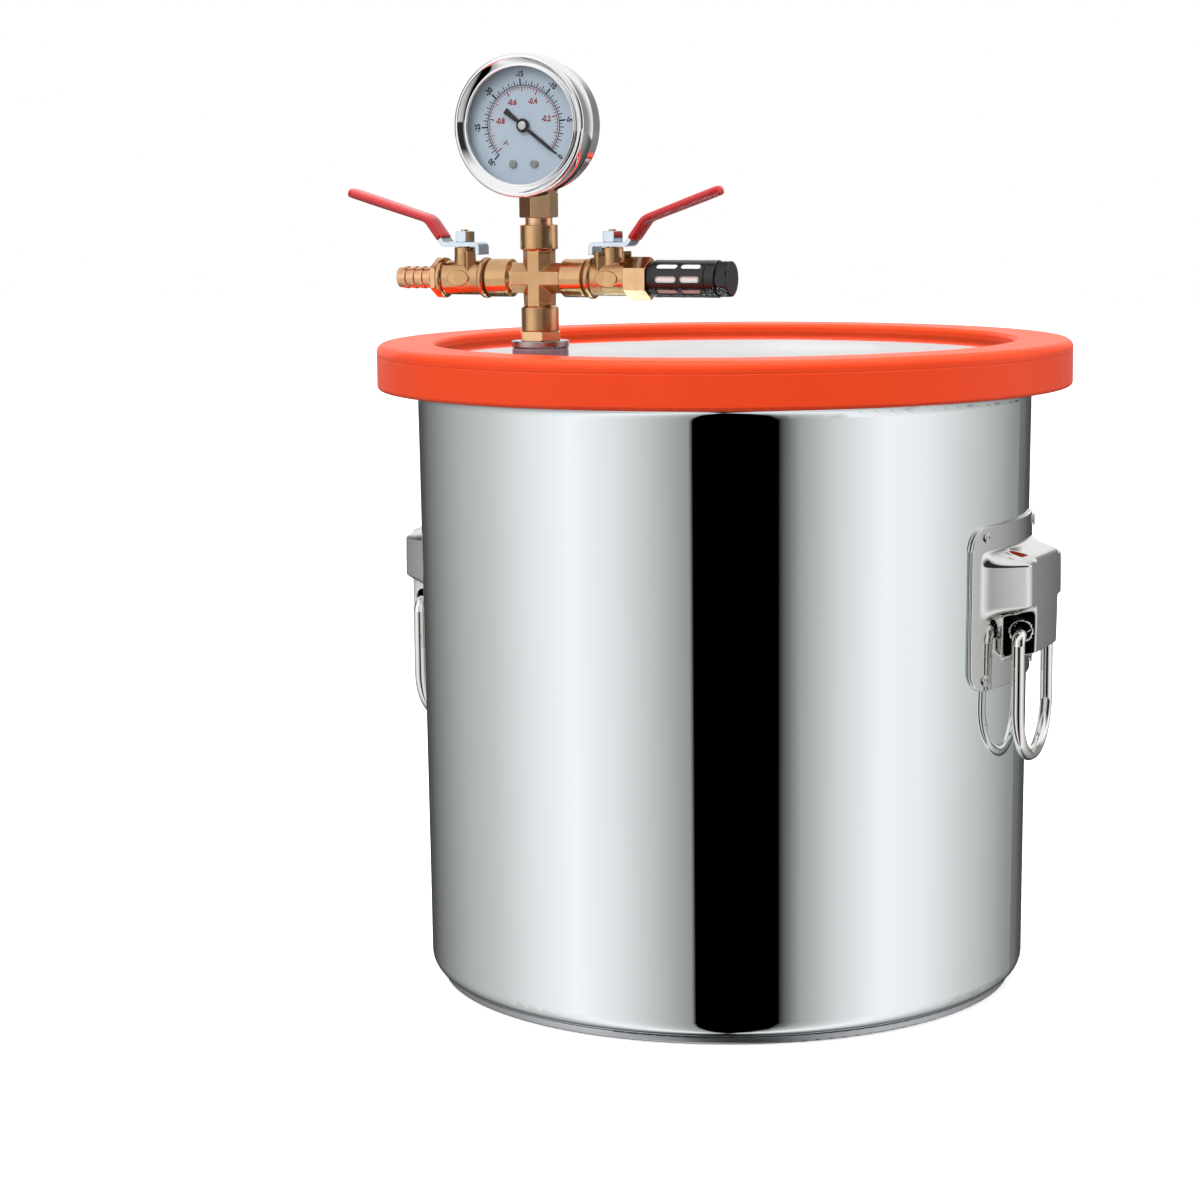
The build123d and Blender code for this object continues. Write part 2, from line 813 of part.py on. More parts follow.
def make_filter_cage():
    line = along_pipe(1)
    collar, cage, cap = filter_places()
    inner = cage_radius - cage_wall
    with BuildPart() as filter_cage:
        ring(line, 0, filter_thread, collar - filter_stub, collar + 0.5)
        ring(line, 0, filter_collar_radius, collar, cage + 0.5, 0.4)
        ring(line, 0, cage_radius, cage, cap, 0.5)
        bore(line, filter_bore, collar - filter_stub - 1, cap + 1)
        bore(line, inner, cage + cage_wall, cap + 1)
        section = Plane((port_x, port_y, axis_z))
        for row in range(2):
            middle = cage + slot_first + slot_length / 2 + row * slot_spacing
            for index in range(slot_count):
                slot_plane = section.rotated((360 * index / slot_count, 0, 0))
                with BuildSketch(slot_plane):
                    with Locations((middle, 0)):
                        SlotOverall(slot_length, slot_width)
                extrude(amount=2 * cage_radius, mode=Mode.SUBTRACT)
    finish(filter_cage, "filter_cage")


def make_filter_element():
    line = along_pipe(1)
    _, cage, cap = filter_places()
    with BuildPart() as filter_element:
        ring(line, element_bore, cage_radius - cage_wall - slack_gap, cage + cage_wall,
             cap - cap_spigot - push_gap)
    finish(filter_element, "filter_element")


def make_filter_cap():
    line = along_pipe(1)
    _, _, cap = filter_places()
    end = cap + cap_length
    facets = end - cap_facet_length
    section = Plane(line.origin + line.y_dir * facets, x_dir=line.x_dir, z_dir=line.y_dir)
    with BuildPart() as filter_cap:
        ring(line, 0, cage_radius, facets, end, cap_chamfer)
        with BuildSketch(section):
            RegularPolygon(cap_flats / 2, 8, major_radius=False, rotation=22.5)
        extrude(amount=cap_facet_length, mode=Mode.INTERSECT)
        ring(line, 0, cage_radius, cap, facets, 0.4)
        ring(line, 0, cage_radius - cage_wall - push_gap, cap - cap_spigot, cap + 1)
    finish(filter_cap, "filter_cap")


# ---- Gauge

def make_gauge_socket():
    middle = upright(port_x, port_y, axis_z)
    neck = cross_reach
    hex_start = neck + gauge_neck
    hex_end = hex_start + gauge_hex
    block_top = hex_end + socket_block_height
    block_middle = (socket_block_back - socket_block_front) / 2
    block_depth = socket_block_front + socket_block_back
    dial_back = dial_face - dial_thickness
    with BuildPart() as gauge_socket:
        ring(middle, 0, pipe_thread, neck - thread_reach, neck + 0.5)
        ring(middle, 0, gauge_neck_radius, neck, hex_start + 0.5, 0.4)
        block = hex_block(middle, gauge_hex_flats, hex_start, hex_end, 0.8)
        add(block.rotate(Axis(middle.origin, (0, 0, 1)), 30))
        with BuildSketch(Plane(middle.origin + Vector(0, block_middle, hex_end))):
            Rectangle(socket_block_width, block_depth)
        extrude(amount=block_top - hex_end)
        bore(middle, barb_bore, neck - thread_reach - 1, hex_end + socket_block_height / 2)
        for x in (-dial_screw_x, dial_screw_x):
            place = Plane(gauge_face.origin + Vector(x, 0, -dial_screw_z),
                          x_dir=(1, 0, 0), z_dir=(0, -1, 0))
            with BuildSketch(place):
                Circle(dial_post_radius)
            extrude(amount=dial_back)
            with BuildSketch(place.offset(dial_back - dial_screw_length)):
                Circle(dial_screw_shank + thread_gap)
            extrude(amount=dial_screw_length + 1, mode=Mode.SUBTRACT)
    finish(gauge_socket, "gauge_socket")


def make_gauge_case():
    inner = case_radius - case_wall
    with BuildPart() as gauge_case:
        turned(gauge_line, [
            (0, -case_back, 0),
            (case_radius, -case_back, case_bend),
            (case_radius, window_back, 0),
            (inner, window_back, 0),
            (inner, -case_back + case_wall, case_bend - case_wall),
            (0, -case_back + case_wall, 0),
        ])
        opening = Plane((port_x, port_y + (socket_block_back - socket_block_front) / 2,
                         gauge_z - case_radius - 2))
        with BuildSketch(opening):
            Rectangle(socket_block_width + 2 * push_gap,
                      socket_block_front + socket_block_back + 2 * push_gap)
        extrude(amount=case_radius / 2, mode=Mode.SUBTRACT)
    finish(gauge_case, "gauge_case")


def make_gauge_bezel():
    inner = case_radius + push_gap
    with BuildPart() as gauge_bezel:
        turned(gauge_line, [
            (inner, bezel_skirt, 0),
            (bezel_radius, bezel_skirt, 0.8),
            (bezel_radius, bezel_front, bezel_round),
            (bezel_opening, bezel_front, bezel_lip * 0.6),
            (bezel_opening, bezel_front - bezel_lip, 0),
            (inner, bezel_front - bezel_lip, 0),
        ])
    finish(gauge_bezel, "gauge_bezel")


def make_gauge_window():
    with BuildPart() as gauge_window:
        ring(gauge_line, 0, case_radius - slack_gap, window_back, window_back + window_thickness)
    finish(gauge_window, "gauge_window")


def make_gauge_dial():
    radius = case_radius - case_wall - slack_gap
    with BuildPart() as gauge_dial:
        ring(gauge_line, dial_hole, radius, dial_face - dial_thickness, dial_face)
        for x in (-dial_screw_x, dial_screw_x):
            with BuildSketch(gauge_face):
                with Locations((x, -dial_screw_z)):
                    Circle(dial_screw_shank + push_gap)
            extrude(amount=bezel_front, mode=Mode.SUBTRACT)
    finish(gauge_dial, "gauge_dial")


def make_dial_screws():
    start = dial_face - dial_thickness - dial_screw_length + 0.5
    with BuildPart() as dial_screws:
        for x in (-dial_screw_x, dial_screw_x):
            line = Plane(gauge_line.origin + Vector(x, 0, -dial_screw_z),
                         x_dir=(1, 0, 0), z_dir=(0, 0, -1))
            ring(line, 0, dial_screw_shank, start, dial_face + 0.2)
            ring(line, 0, dial_screw_head, dial_face, dial_face + dial_screw_head_height, 0.3)
    finish(dial_screws, "dial_screws")


def make_pointer():
    start = dial_face + pointer_lift
    angle = radians(pointer_zero)
    plane = Plane(gauge_face.offset(start).origin, x_dir=(cos(angle), 0, sin(angle)),
                  z_dir=(0, -1, 0))
    with BuildPart() as pointer:
        with BuildSketch(plane):
            with BuildLine():
                Polyline(
                    (-pointer_tail, pointer_tail_width / 2),
                    (-pointer_hub * 0.9, pointer_width / 2),
                    (pointer_length * 0.8, pointer_width / 2),
                    (pointer_length, 0.15),
                    (pointer_length, -0.15),
                    (pointer_length * 0.8, -pointer_width / 2),
                    (-pointer_hub * 0.9, -pointer_width / 2),
                    (-pointer_tail, -pointer_tail_width / 2),
                    close=True,
                )
            make_face()
            Circle(pointer_hub)
            Circle(arbor_radius + 0.01, mode=Mode.SUBTRACT)
        extrude(amount=pointer_sheet)
    finish(pointer, "pointer")


def make_pointer_cap():
    start = dial_face + pointer_lift + pointer_sheet
    with BuildPart() as pointer_cap:
        ring(gauge_line, 0, pointer_cap_radius, start, start + pointer_cap_height, 0.3)
    finish(pointer_cap, "pointer_cap")


def make_pointer_arbor():
    end = dial_face + pointer_lift + pointer_sheet
    with BuildPart() as pointer_arbor:
        ring(gauge_line, 0, arbor_radius, arbor_start, end)
    finish(pointer_arbor, "pointer_arbor")


def make_movement_frame():
    """Two plates on pillars that carry the arbor, standing on the socket's block."""
    first = arbor_start + slack_gap
    second = first + movement_plate + movement_gap
    edge = movement_width / 2
    block = case_radius - socket_block_height
    with BuildPart() as movement_frame:
        for start in (first, second):
            with BuildSketch(gauge_face.offset(start)):
                RectangleRounded(movement_width, movement_width, movement_corner)
                Circle(arbor_radius + turning_gap, mode=Mode.SUBTRACT)
            extrude(amount=movement_plate)
        with BuildSketch(gauge_face.offset(first)):
            with Locations((pillar_inset - edge, 0), (edge - pillar_inset, 0)):
                Circle(pillar_radius)
        extrude(amount=movement_gap + movement_plate)
        with BuildSketch(gauge_face.offset(first)):
            with Locations((0, (1 - edge - block) / 2)):
                Rectangle(movement_foot, block - edge + 1)
        extrude(amount=movement_plate)
    finish(movement_frame, "movement_frame")


make_pot()
make_base_disc()
for side, hand in ((1, "right"), (-1, "left")):
    make_handle_plate(side, f"handle_plate_{hand}")
    make_handle_rivets(side, f"handle_rivets_{hand}")
    make_handle_ring(side, f"handle_ring_{hand}")
make_lid()
make_lid_ring()
make_port_rings()
make_port_nipple()
make_port_lock_nut()
make_cross()
make_valve(-1, "left", left_stem_at, left_valve_end, True, left_lever_reach)
make_valve(1, "right", right_stem_at, right_valve_end, False, right_lever_reach)
make_hose_barb()
make_hex_end()
make_filter_cage()
make_filter_element()
make_filter_cap()
make_gauge_socket()
make_gauge_case()
make_gauge_bezel()
make_gauge_window()
make_gauge_dial()
make_dial_screws()
make_pointer()
make_pointer_cap()
make_pointer_arbor()
make_movement_frame()
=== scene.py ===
from math import cos, pi, radians, sin

import bmesh
import bpy
import numpy as np
from mathutils import Matrix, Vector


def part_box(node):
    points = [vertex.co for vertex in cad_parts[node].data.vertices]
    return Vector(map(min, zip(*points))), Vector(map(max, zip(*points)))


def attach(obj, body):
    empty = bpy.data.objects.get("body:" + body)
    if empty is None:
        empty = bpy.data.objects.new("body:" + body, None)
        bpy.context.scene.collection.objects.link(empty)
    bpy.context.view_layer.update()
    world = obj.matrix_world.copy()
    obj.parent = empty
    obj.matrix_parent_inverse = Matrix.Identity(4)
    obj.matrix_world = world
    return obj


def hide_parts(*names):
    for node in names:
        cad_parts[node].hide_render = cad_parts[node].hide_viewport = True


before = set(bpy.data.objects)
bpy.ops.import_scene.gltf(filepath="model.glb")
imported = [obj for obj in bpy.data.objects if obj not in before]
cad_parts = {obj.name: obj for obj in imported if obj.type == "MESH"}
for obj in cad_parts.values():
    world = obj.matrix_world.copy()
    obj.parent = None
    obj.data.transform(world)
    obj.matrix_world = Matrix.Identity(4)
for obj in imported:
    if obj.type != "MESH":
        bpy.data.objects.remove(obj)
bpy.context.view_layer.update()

bl_info = {
    "name": "Vacuum chamber dress",
    "version": (1, 0, 0),
    "blender": (4, 5, 0),
    "location": "View3D > Sidebar > Chamber",
    "description": "Dresses the packed vacuum chamber with finishes, dial printing and a studio",
    "category": "Object",
}

MM = 0.001


def linear(code):
    """An sRGB hex colour as linear RGBA."""
    values = []
    for index in (1, 3, 5):
        level = int(code[index:index + 2], 16) / 255
        values.append(level / 12.92 if level <= 0.04045 else ((level + 0.055) / 1.055) ** 2.4)
    return (*values, 1.0)


def middle_of(node):
    """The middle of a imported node's box."""
    return tuple((low + high) / 2 for low, high in zip(*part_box(node)))


# ---- Sizes and colours that a user may change

def length_of(name, description, size_mm):
    """A length that a user may change, with its default in millimetres."""
    return bpy.props.FloatProperty(name=name, description=description, default=size_mm * MM,
                                   unit="LENGTH")


def angle_of(name, description, turn):
    """An angle that a user may change, with its default in degrees."""
    return bpy.props.FloatProperty(name=name, description=description, default=radians(turn),
                                   subtype="ANGLE")


def colour_of(name, description, code):
    """A colour that a user may change, with its default as an sRGB hex code."""
    return bpy.props.FloatVectorProperty(name=name, description=description,
                                         default=linear(code), size=4, min=0, max=1,
                                         subtype="COLOR")


class DialSettings(bpy.types.PropertyGroup):
    arc_radius: length_of("Scale radius", "Radius of the black scale's arc", 17.9)
    zero_angle: angle_of(
        "Zero angle", "Angle of the scale's zero from the dial's right hand side", -38)
    step_angle: angle_of("Step angle", "Angle between two numbers of the black scale", 44)
    number_height: length_of("Number height", "Height of the printed numbers", 3.5)
    print_height: length_of("Print thickness", "How far the ink stands above the dial", 0.03)


class LeverSettings(bpy.types.PropertyGroup):
    seat: length_of("Seat", "Height of the strip's middle above the pipe's axis", 15.4)
    knee: length_of("Knee", "Distance from the stem where the strip turns up", 8.8)
    crest: length_of("Crest", "Distance from the stem where the strip flattens out", 17.5)
    crest_rise: length_of("Crest rise", "Rise of the strip from its seat to the crest", 11.6)
    tip_rise: length_of("Tip rise", "Rise of the strip from its seat to the tip", 24.5)
    start: length_of("Sleeve start", "Distance from the stem where the vinyl begins", 10.6)
    width: length_of("Sleeve width", "Width of the vinyl sleeve", 12.2)
    thickness: length_of("Sleeve thickness", "Thickness of the vinyl sleeve", 3.9)


class HandleSettings(bpy.types.PropertyGroup):
    sheet: length_of("Sheet", "Thickness of the stamped sheet", 1.5)
    gap: length_of("Gap", "Gap between the plate and the pot's wall", 0.1)
    corner: length_of("Plate corner", "Corner radius of the plate", 11)
    body_width: length_of("Body width", "Width of the pressed body at its foot", 47)
    body_height: length_of("Body height", "Height of the pressed body at its foot", 54)
    wing_width: length_of("Wing width", "Width of the shoulders above the ring's holes", 88)
    wing_height: length_of("Wing height", "Height of the shoulders", 33)
    hole_radius: length_of("Hole radius", "Radius of the holes that the ring hangs in", 4.7)


class BezelSettings(bpy.types.PropertyGroup):
    front: length_of("Bezel front", "How far the bezel's crest stands before the glass", 2.6)
    opening: length_of("Bezel opening", "Radius of the glass that the bezel leaves clear", 26.3)


class ColourSettings(bpy.types.PropertyGroup):
    silicone: colour_of("Silicone", "Colour of the ring round the lid", "#EC4512")
    vinyl: colour_of("Vinyl", "Colour of the lever sleeves", "#B00E18")
    brass: colour_of("Brass", "Colour of the cast fittings", "#DCB184")
    steel: colour_of("Steel", "Colour of the polished pot", "#EEF4F5")
    dial: colour_of("Dial", "Colour of the dial", "#C3CFDC")


class StageSettings(bpy.types.PropertyGroup):
    azimuth: angle_of("Azimuth", "Camera angle round the chamber from the gauge's side", 21.5)
    distance: length_of("Distance", "Level distance from the pot's axis to the camera", 1410)
    height: length_of("Height", "Height of the camera", 393.4)
    pan: angle_of("Pan", "How far the camera looks to the left of the pot's axis", 2.5)
    tilt: angle_of("Tilt", "How far the camera looks down", 8.42)
    roll: angle_of("Roll", "Camera's turn about its own axis", -0.58)
    lens: bpy.props.FloatProperty(
        name="Lens", description="Focal length in millimetres, on a sensor 36 mm wide",
        default=86.25)
    floor_size: length_of("Floor size", "Width of the square floor", 14000)


# ---- Shader helpers

# A noise pattern stays mostly between these two values
NOISE_LOW, NOISE_HIGH = 0.3, 0.7


def add_node(tree, kind, settings=None, links=None):
    """Add one shader node, set its properties and input values, and link its inputs to
    sockets or to the first output of other nodes."""
    node = tree.nodes.new("ShaderNode" + kind)
    for key, value in (settings or {}).items():
        if isinstance(key, str) and hasattr(node, key):
            setattr(node, key, value)
        else:
            node.inputs[key].default_value = value
    for key, source in (links or {}).items():
        if isinstance(source, bpy.types.Node):
            source = source.outputs[0]
        tree.links.new(source, node.inputs[key])
    return node


def grains(size_mm):
    """The scale of a pattern whose grains are about a size in millimetres."""
    return 1 / (size_mm * MM)


def new_material(name, **shader):
    """A material with a Principled shader and Object coordinates in metres."""
    material = bpy.data.materials.new(name)
    material.use_nodes = True
    tree = material.node_tree
    tree.nodes.clear()
    bsdf = add_node(tree, "BsdfPrincipled", shader)
    add_node(tree, "OutputMaterial", links={0: bsdf})
    place = add_node(tree, "TexCoord")
    return material, tree, bsdf, place.outputs["Object"]


def shade(tree, bsdf, tones=None, rough=None, relief=None):
    """Lead patterns to the shader: tones is (pattern, low colour, high colour), rough is
    (pattern, low, high) and relief is (pattern, depth in mm, radius of soft edges in mm)."""
    if tones:
        pattern, low, high = tones
        mix = add_node(tree, "Mix", {"data_type": "RGBA", 6: low, 7: high}, {"Factor": pattern})
        tree.links.new(mix.outputs[2], bsdf.inputs["Base Color"])
    if rough:
        pattern, low, high = rough
        level = add_node(tree, "MapRange",
                         {"From Min": NOISE_LOW, "From Max": NOISE_HIGH,
                          "To Min": low, "To Max": high}, {"Value": pattern})
        tree.links.new(level.outputs[0], bsdf.inputs["Roughness"])
    if relief:
        pattern, depth_mm, edge_mm = relief
        skin = add_node(tree, "Bump", {"Distance": depth_mm * MM}, {"Height": pattern})
        if edge_mm > 0:
            edge = add_node(tree, "Bevel", {"samples": 8, "Radius": edge_mm * MM})
            tree.links.new(edge.outputs[0], skin.inputs["Normal"])
        tree.links.new(skin.outputs[0], bsdf.inputs["Normal"])


# ---- Finishes

def polished_steel(name, colour, rough, wave_mm, wave_depth, edge_mm=0.0):
    """Stainless steel, rolled and mirror polished: sharp, with a slight slow waviness."""
    material, tree, bsdf, place = new_material(name, **{"Metallic": 1.0, "Base Color": colour})
    drawn = add_node(tree, "Mapping", {"Scale": (1, 1, 0.08)}, {"Vector": place})
    lines = add_node(tree, "TexNoise", {"Scale": grains(1.2), "Detail": 3}, {"Vector": drawn})
    wave = add_node(tree, "TexNoise", {"Scale": grains(wave_mm), "Detail": 1}, {"Vector": place})
    shade(tree, bsdf, rough=(lines, rough * 0.75, rough * 1.35),
          relief=(wave, wave_depth, edge_mm))
    return material


def spun_steel(name, colour, rough, pitch_mm, centre):
    """Steel turned on a lathe: rings round the piece's own axis, drawn a few millimetres
    apart, coarser than real tool lines, so that they show."""
    material, tree, bsdf, place = new_material(
        name, **{"Metallic": 1.0, "Base Color": colour, "Roughness": rough})
    moved = add_node(tree, "Mapping", {"Location": (-centre[0], -centre[1], 0)}, {"Vector": place})
    # At a scale of 1 the wave texture's rings lie pi / 10 apart
    rings = add_node(tree, "TexWave",
                     {"wave_type": "RINGS", "rings_direction": "Z",
                      "Scale": grains(pitch_mm * 10 / pi), "Distortion": 0.6}, {"Vector": moved})
    shade(tree, bsdf, relief=(rings.outputs["Fac"], 0.01, 0))
    return material


def cast_brass(name, colour, centre, reach_mm):
    """Sand cast brass: a dull, pebbled skin with grains about 0.5 mm wide, machined bright
    beyond a distance from the casting's middle."""
    material, tree, bsdf, place = new_material(name, Metallic=1.0)
    grain = add_node(tree, "TexNoise",
                     {"Scale": grains(0.55), "Detail": 4, "Roughness": 0.6}, {"Vector": place})
    stain = add_node(tree, "TexNoise", {"Scale": grains(7), "Detail": 3}, {"Vector": place})
    away = add_node(tree, "VectorMath", {"operation": "DISTANCE", 1: centre}, {0: place})
    cast = add_node(tree, "MapRange",
                    {"From Min": reach_mm * MM, "From Max": (reach_mm + 0.6) * MM,
                     "To Min": 1.0, "To Max": 0.12}, {"Value": away.outputs["Value"]})
    skin = add_node(tree, "Math", {"operation": "MULTIPLY"}, {0: grain, 1: cast})
    machined = add_node(tree, "MapRange",
                        {"From Min": NOISE_LOW, "From Max": NOISE_HIGH,
                         "To Min": 0.13, "To Max": 0.19}, {"Value": grain})
    rough = add_node(tree, "Math", {"operation": "MULTIPLY_ADD", 1: 0.17}, {0: cast, 2: machined})
    tree.links.new(rough.outputs[0], bsdf.inputs["Roughness"])
    shade(tree, bsdf, tones=(stain, linear("#BD9468"), colour), relief=(skin, 0.05, 0.7))
    return material


def turned_brass(name, colour):
    """Brass cut on a lathe: bright, with fine tool lines about 0.25 mm apart."""
    material, tree, bsdf, place = new_material(name, Metallic=1.0)
    stain = add_node(tree, "TexNoise", {"Scale": grains(9), "Detail": 2}, {"Vector": place})
    drawn = add_node(tree, "Mapping", {"Scale": (6, 1, 6)}, {"Vector": place})
    lines = add_node(tree, "TexNoise", {"Scale": grains(1.5), "Detail": 2}, {"Vector": drawn})
    shade(tree, bsdf, (stain, linear("#D0A47C"), colour), (lines, 0.12, 0.20),
          (lines, 0.008, 0.35))
    return material


def moulded_silicone(name, colour, seam_z):
    """Moulded silicone rubber: soft satin, faintly cloudy, with a parting line round it."""
    material, tree, bsdf, place = new_material(
        name, **{"Roughness": 0.42, "IOR": 1.41, "Subsurface Weight": 0.12,
                 "Subsurface Radius": (0.004, 0.0015, 0.0008), "Subsurface Scale": 1.0})
    cloud = add_node(tree, "TexNoise", {"Scale": grains(40), "Detail": 2}, {"Vector": place})
    axes = add_node(tree, "SeparateXYZ", links={"Vector": place})
    above = add_node(tree, "Math", {"operation": "SUBTRACT", 1: seam_z}, {0: axes.outputs["Z"]})
    away = add_node(tree, "Math", {"operation": "ABSOLUTE"}, {0: above})
    seam = add_node(tree, "MapRange", {"From Max": 0.35 * MM}, {"Value": away})
    grain = add_node(tree, "TexNoise", {"Scale": grains(0.9), "Detail": 3}, {"Vector": place})
    skin = add_node(tree, "Math", {"operation": "MULTIPLY_ADD", 1: 0.12}, {0: grain, 2: seam})
    shade(tree, bsdf, tones=(cloud, linear("#E33D0A"), colour), relief=(skin, 0.18, 0))
    return material


def dipped_vinyl(name, colour):
    """Dip moulded vinyl: thick, glossy and slightly uneven."""
    material, tree, bsdf, place = new_material(
        name, **{"Base Color": colour, "IOR": 1.54, "Coat Weight": 0.4, "Coat Roughness": 0.12})
    flow = add_node(tree, "TexNoise", {"Scale": grains(5), "Detail": 2}, {"Vector": place})
    shade(tree, bsdf, rough=(flow, 0.22, 0.36), relief=(flow, 0.03, 1.3))
    return material


def moulded_plastic(name, low, high, rough, grain_mm):
    """Injection moulded plastic or rubber with a fine etched grain."""
    material, tree, bsdf, place = new_material(name, IOR=1.53)
    grain = add_node(tree, "TexNoise", {"Scale": grains(grain_mm), "Detail": 2}, {"Vector": place})
    shade(tree, bsdf, (grain, low, high), (grain, rough * 0.85, rough * 1.15), (grain, 0.02, 0))
    return material


def clear_sheet(name, colour, rough, index):
    """Cast clear acrylic or coated glass, with a trace of haze."""
    material, tree, bsdf, place = new_material(
        name, **{"Base Color": colour, "Transmission Weight": 1.0, "IOR": index})
    haze = add_node(tree, "TexNoise", {"Scale": grains(60), "Detail": 2}, {"Vector": place})
    shade(tree, bsdf, rough=(haze, rough * 0.6, rough * 1.4))
    return material


def painted(name, low, high, rough, drift_mm):
    """Baked paint, lacquer or printed ink: an even coat that drifts a little in tone."""
    material, tree, bsdf, place = new_material(name, IOR=1.5)
    drift = add_node(tree, "TexNoise", {"Scale": grains(drift_mm), "Detail": 2}, {"Vector": place})
    peel = add_node(tree, "TexNoise", {"Scale": grains(0.6), "Detail": 2}, {"Vector": place})
    shade(tree, bsdf, (drift, low, high), (drift, rough * 0.9, rough * 1.1), (peel, 0.01, 0))
    return material


def wool_felt(name):
    """Pressed white felt: fibres a few tenths of a millimetre wide, with a soft sheen."""
    material, tree, bsdf, place = new_material(
        name, **{"Roughness": 0.95, "Sheen Weight": 0.4, "Sheen Roughness": 0.5})
    combed = add_node(tree, "Mapping", {"Scale": (1, 2, 3)}, {"Vector": place})
    fibre = add_node(tree, "TexNoise",
                     {"Scale": grains(0.8), "Detail": 6, "Roughness": 0.7}, {"Vector": combed})
    shade(tree, bsdf, tones=(fibre, linear("#D8D8D4"), linear("#FFFFFF")),
          relief=(fibre, 0.25, 0))
    return material


def dress(material, *nodes):
    """Put a material on CAD nodes, whose meshes stay as they are."""
    for node in nodes:
        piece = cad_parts[node]
        piece.data.materials.clear()
        piece.data.materials.append(material)


# ---- Mesh helpers

def mesh_from(points, faces):
    """A mesh from an array of points and a list of faces."""
    mesh = bpy.data.meshes.new("surface")
    mesh.from_pydata(points.reshape(-1, 3).tolist(), [], faces)
    return mesh


def grid_quads(rows, columns, closed_u=False, closed_v=False):
    """The quads that join a grid of points, round again where a direction is closed."""
    index = np.arange(rows * columns).reshape(rows, columns)
    if closed_u:
        index = np.concatenate([index, index[:1]])
    if closed_v:
        index = np.concatenate([index, index[:, :1]], axis=1)
    a, b = index[:-1], index[1:]
    return np.stack([a[:, :-1], b[:, :-1], b[:, 1:], a[:, 1:]], -1).reshape(-1, 4)


def grid_mesh(points, closed_u=False, closed_v=False):
    """A smooth surface from an array of points (rows, columns, 3)."""
    mesh = mesh_from(points, grid_quads(*points.shape[:2], closed_u, closed_v).tolist())
    mesh.shade_smooth()
    return mesh


def turned_profile(profile, centre, steps=192):
    """A closed profile of (radius, distance along -Y) points turned about a level axis:
    x = cx + r cos a, y = cy - d, z = cz + r sin a."""
    radius, depth = np.array(profile).T
    angle = np.linspace(0, 2 * pi, steps, endpoint=False)[:, None]
    points = np.stack([
        centre[0] + radius * np.cos(angle),
        np.broadcast_to(centre[1] - depth, (steps, len(radius))),
        centre[2] + radius * np.sin(angle),
    ], -1)
    return grid_mesh(points, closed_u=True, closed_v=True)


def rounded_line(corners, radii, steps=12):
    """Points along a bent line: straight runs joined by arcs of the given radii."""
    corners = np.array(corners, float)
    line = [corners[:1]]
    for index, radius in enumerate(radii, start=1):
        before = corners[index - 1] - corners[index]
        after = corners[index + 1] - corners[index]
        before /= np.linalg.norm(before)
        after /= np.linalg.norm(after)
        half = np.arccos(np.clip(before @ after, -1, 1)) / 2
        reach = radius / np.tan(half)
        middle = before + after
        centre = corners[index] + middle / np.linalg.norm(middle) * radius / np.sin(half)
        start = corners[index] + before * reach - centre
        end = corners[index] + after * reach - centre
        share = np.linspace(0, 1, steps)[:, None]
        arc = start * (1 - share) + end * share
        line.append(centre + arc / np.linalg.norm(arc, axis=1, keepdims=True) * radius)
    line.append(corners[-1:])
    return np.concatenate(line)


def resampled(line, count):
    """A line's points spaced evenly, with the tangent and the distance run at each."""
    steps = np.linalg.norm(np.diff(line, axis=0), axis=1)
    along = np.concatenate([[0], np.cumsum(steps)])
    spots = np.linspace(0, along[-1], count)
    points = np.stack([np.interp(spots, along, line[:, axis]) for axis in range(2)], 1)
    tangents = np.gradient(points, axis=0)
    return points, tangents / np.linalg.norm(tangents, axis=1, keepdims=True), spots


def soft_step(value):
    """0 below 0, 1 above 1 and a smooth S between: 3t^2 - 2t^3."""
    share = np.clip(value, 0, 1)
    return share * share * (3 - 2 * share)


def round_ramp(value, bend=0.22):
    """0 below 0, 1 above 1 and a straight ramp between, rounded over a share at each end."""
    t = np.clip(value, 0, 1)
    slope = 1 / (1 - bend)
    low = slope * t * t / (2 * bend)
    high = 1 - slope * (1 - t) ** 2 / (2 * bend)
    return np.where(t < bend, low, np.where(t > 1 - bend, high, slope * (t - bend / 2)))


def round_end(left, length):
    """1 along a run and a quarter ellipse to 0 at its end: sqrt(1 - (1 - t)^2), where t is
    the distance left as a share of the rounded length."""
    share = np.clip(left / length, 0, 1)
    return np.sqrt(1 - (1 - share) ** 2)


def face_outwards(mesh):
    """Make a closed mesh's faces look outwards."""
    edit = bmesh.new()
    edit.from_mesh(mesh)
    bmesh.ops.recalc_face_normals(edit, faces=edit.faces)
    edit.to_mesh(mesh)
    edit.free()
    mesh.shade_smooth()


def place_piece(name, mesh, body, material):
    """Link a finished mesh as a piece on a body, with its finish's slot."""
    mesh.name = name
    mesh.materials.clear()
    mesh.materials.append(material)
    piece = bpy.data.objects.new(name, mesh)
    bpy.context.scene.collection.objects.link(piece)
    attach(piece, body)
    return piece


# ---- Dial printing

DIAL_X, _, DIAL_Z = middle_of("gauge_dial")
DIAL_FACE_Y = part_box("gauge_dial")[0][1]
# The black scale is in inches of mercury and the red one in bar
SCALE_NUMBERS = 7
SCALE_STEP_INCHES = 5
TICKS_PER_NUMBER = 10
INCHES_PER_BAR = 29.53
RED_NUMBERS = ("0", "-0.2", "-0.4", "-0.6", "-0.8", "-1")
# Kinds of tick as (every so many, length, width) in millimetres
BLACK_TICKS = ((1, 1.4, 0.3), (2, 2.2, 0.46), (10, 3.1, 0.75))
RED_TICKS = ((1, 1.2, 0.28), (5, 1.9, 0.42), (10, 2.4, 0.55))
BLACK_LINE = 0.4 * MM
RED_LINE = 0.3 * MM
RED_ARC_INSET = 0.75 * MM
BLACK_NUMBER_OFFSET = 5.0 * MM
RED_NUMBER_OFFSET = -6.2 * MM
# Printed numbers are narrower and bolder than the plain typeface
NUMBER_NARROWING = 0.82
NUMBER_BOLDNESS = 0.045


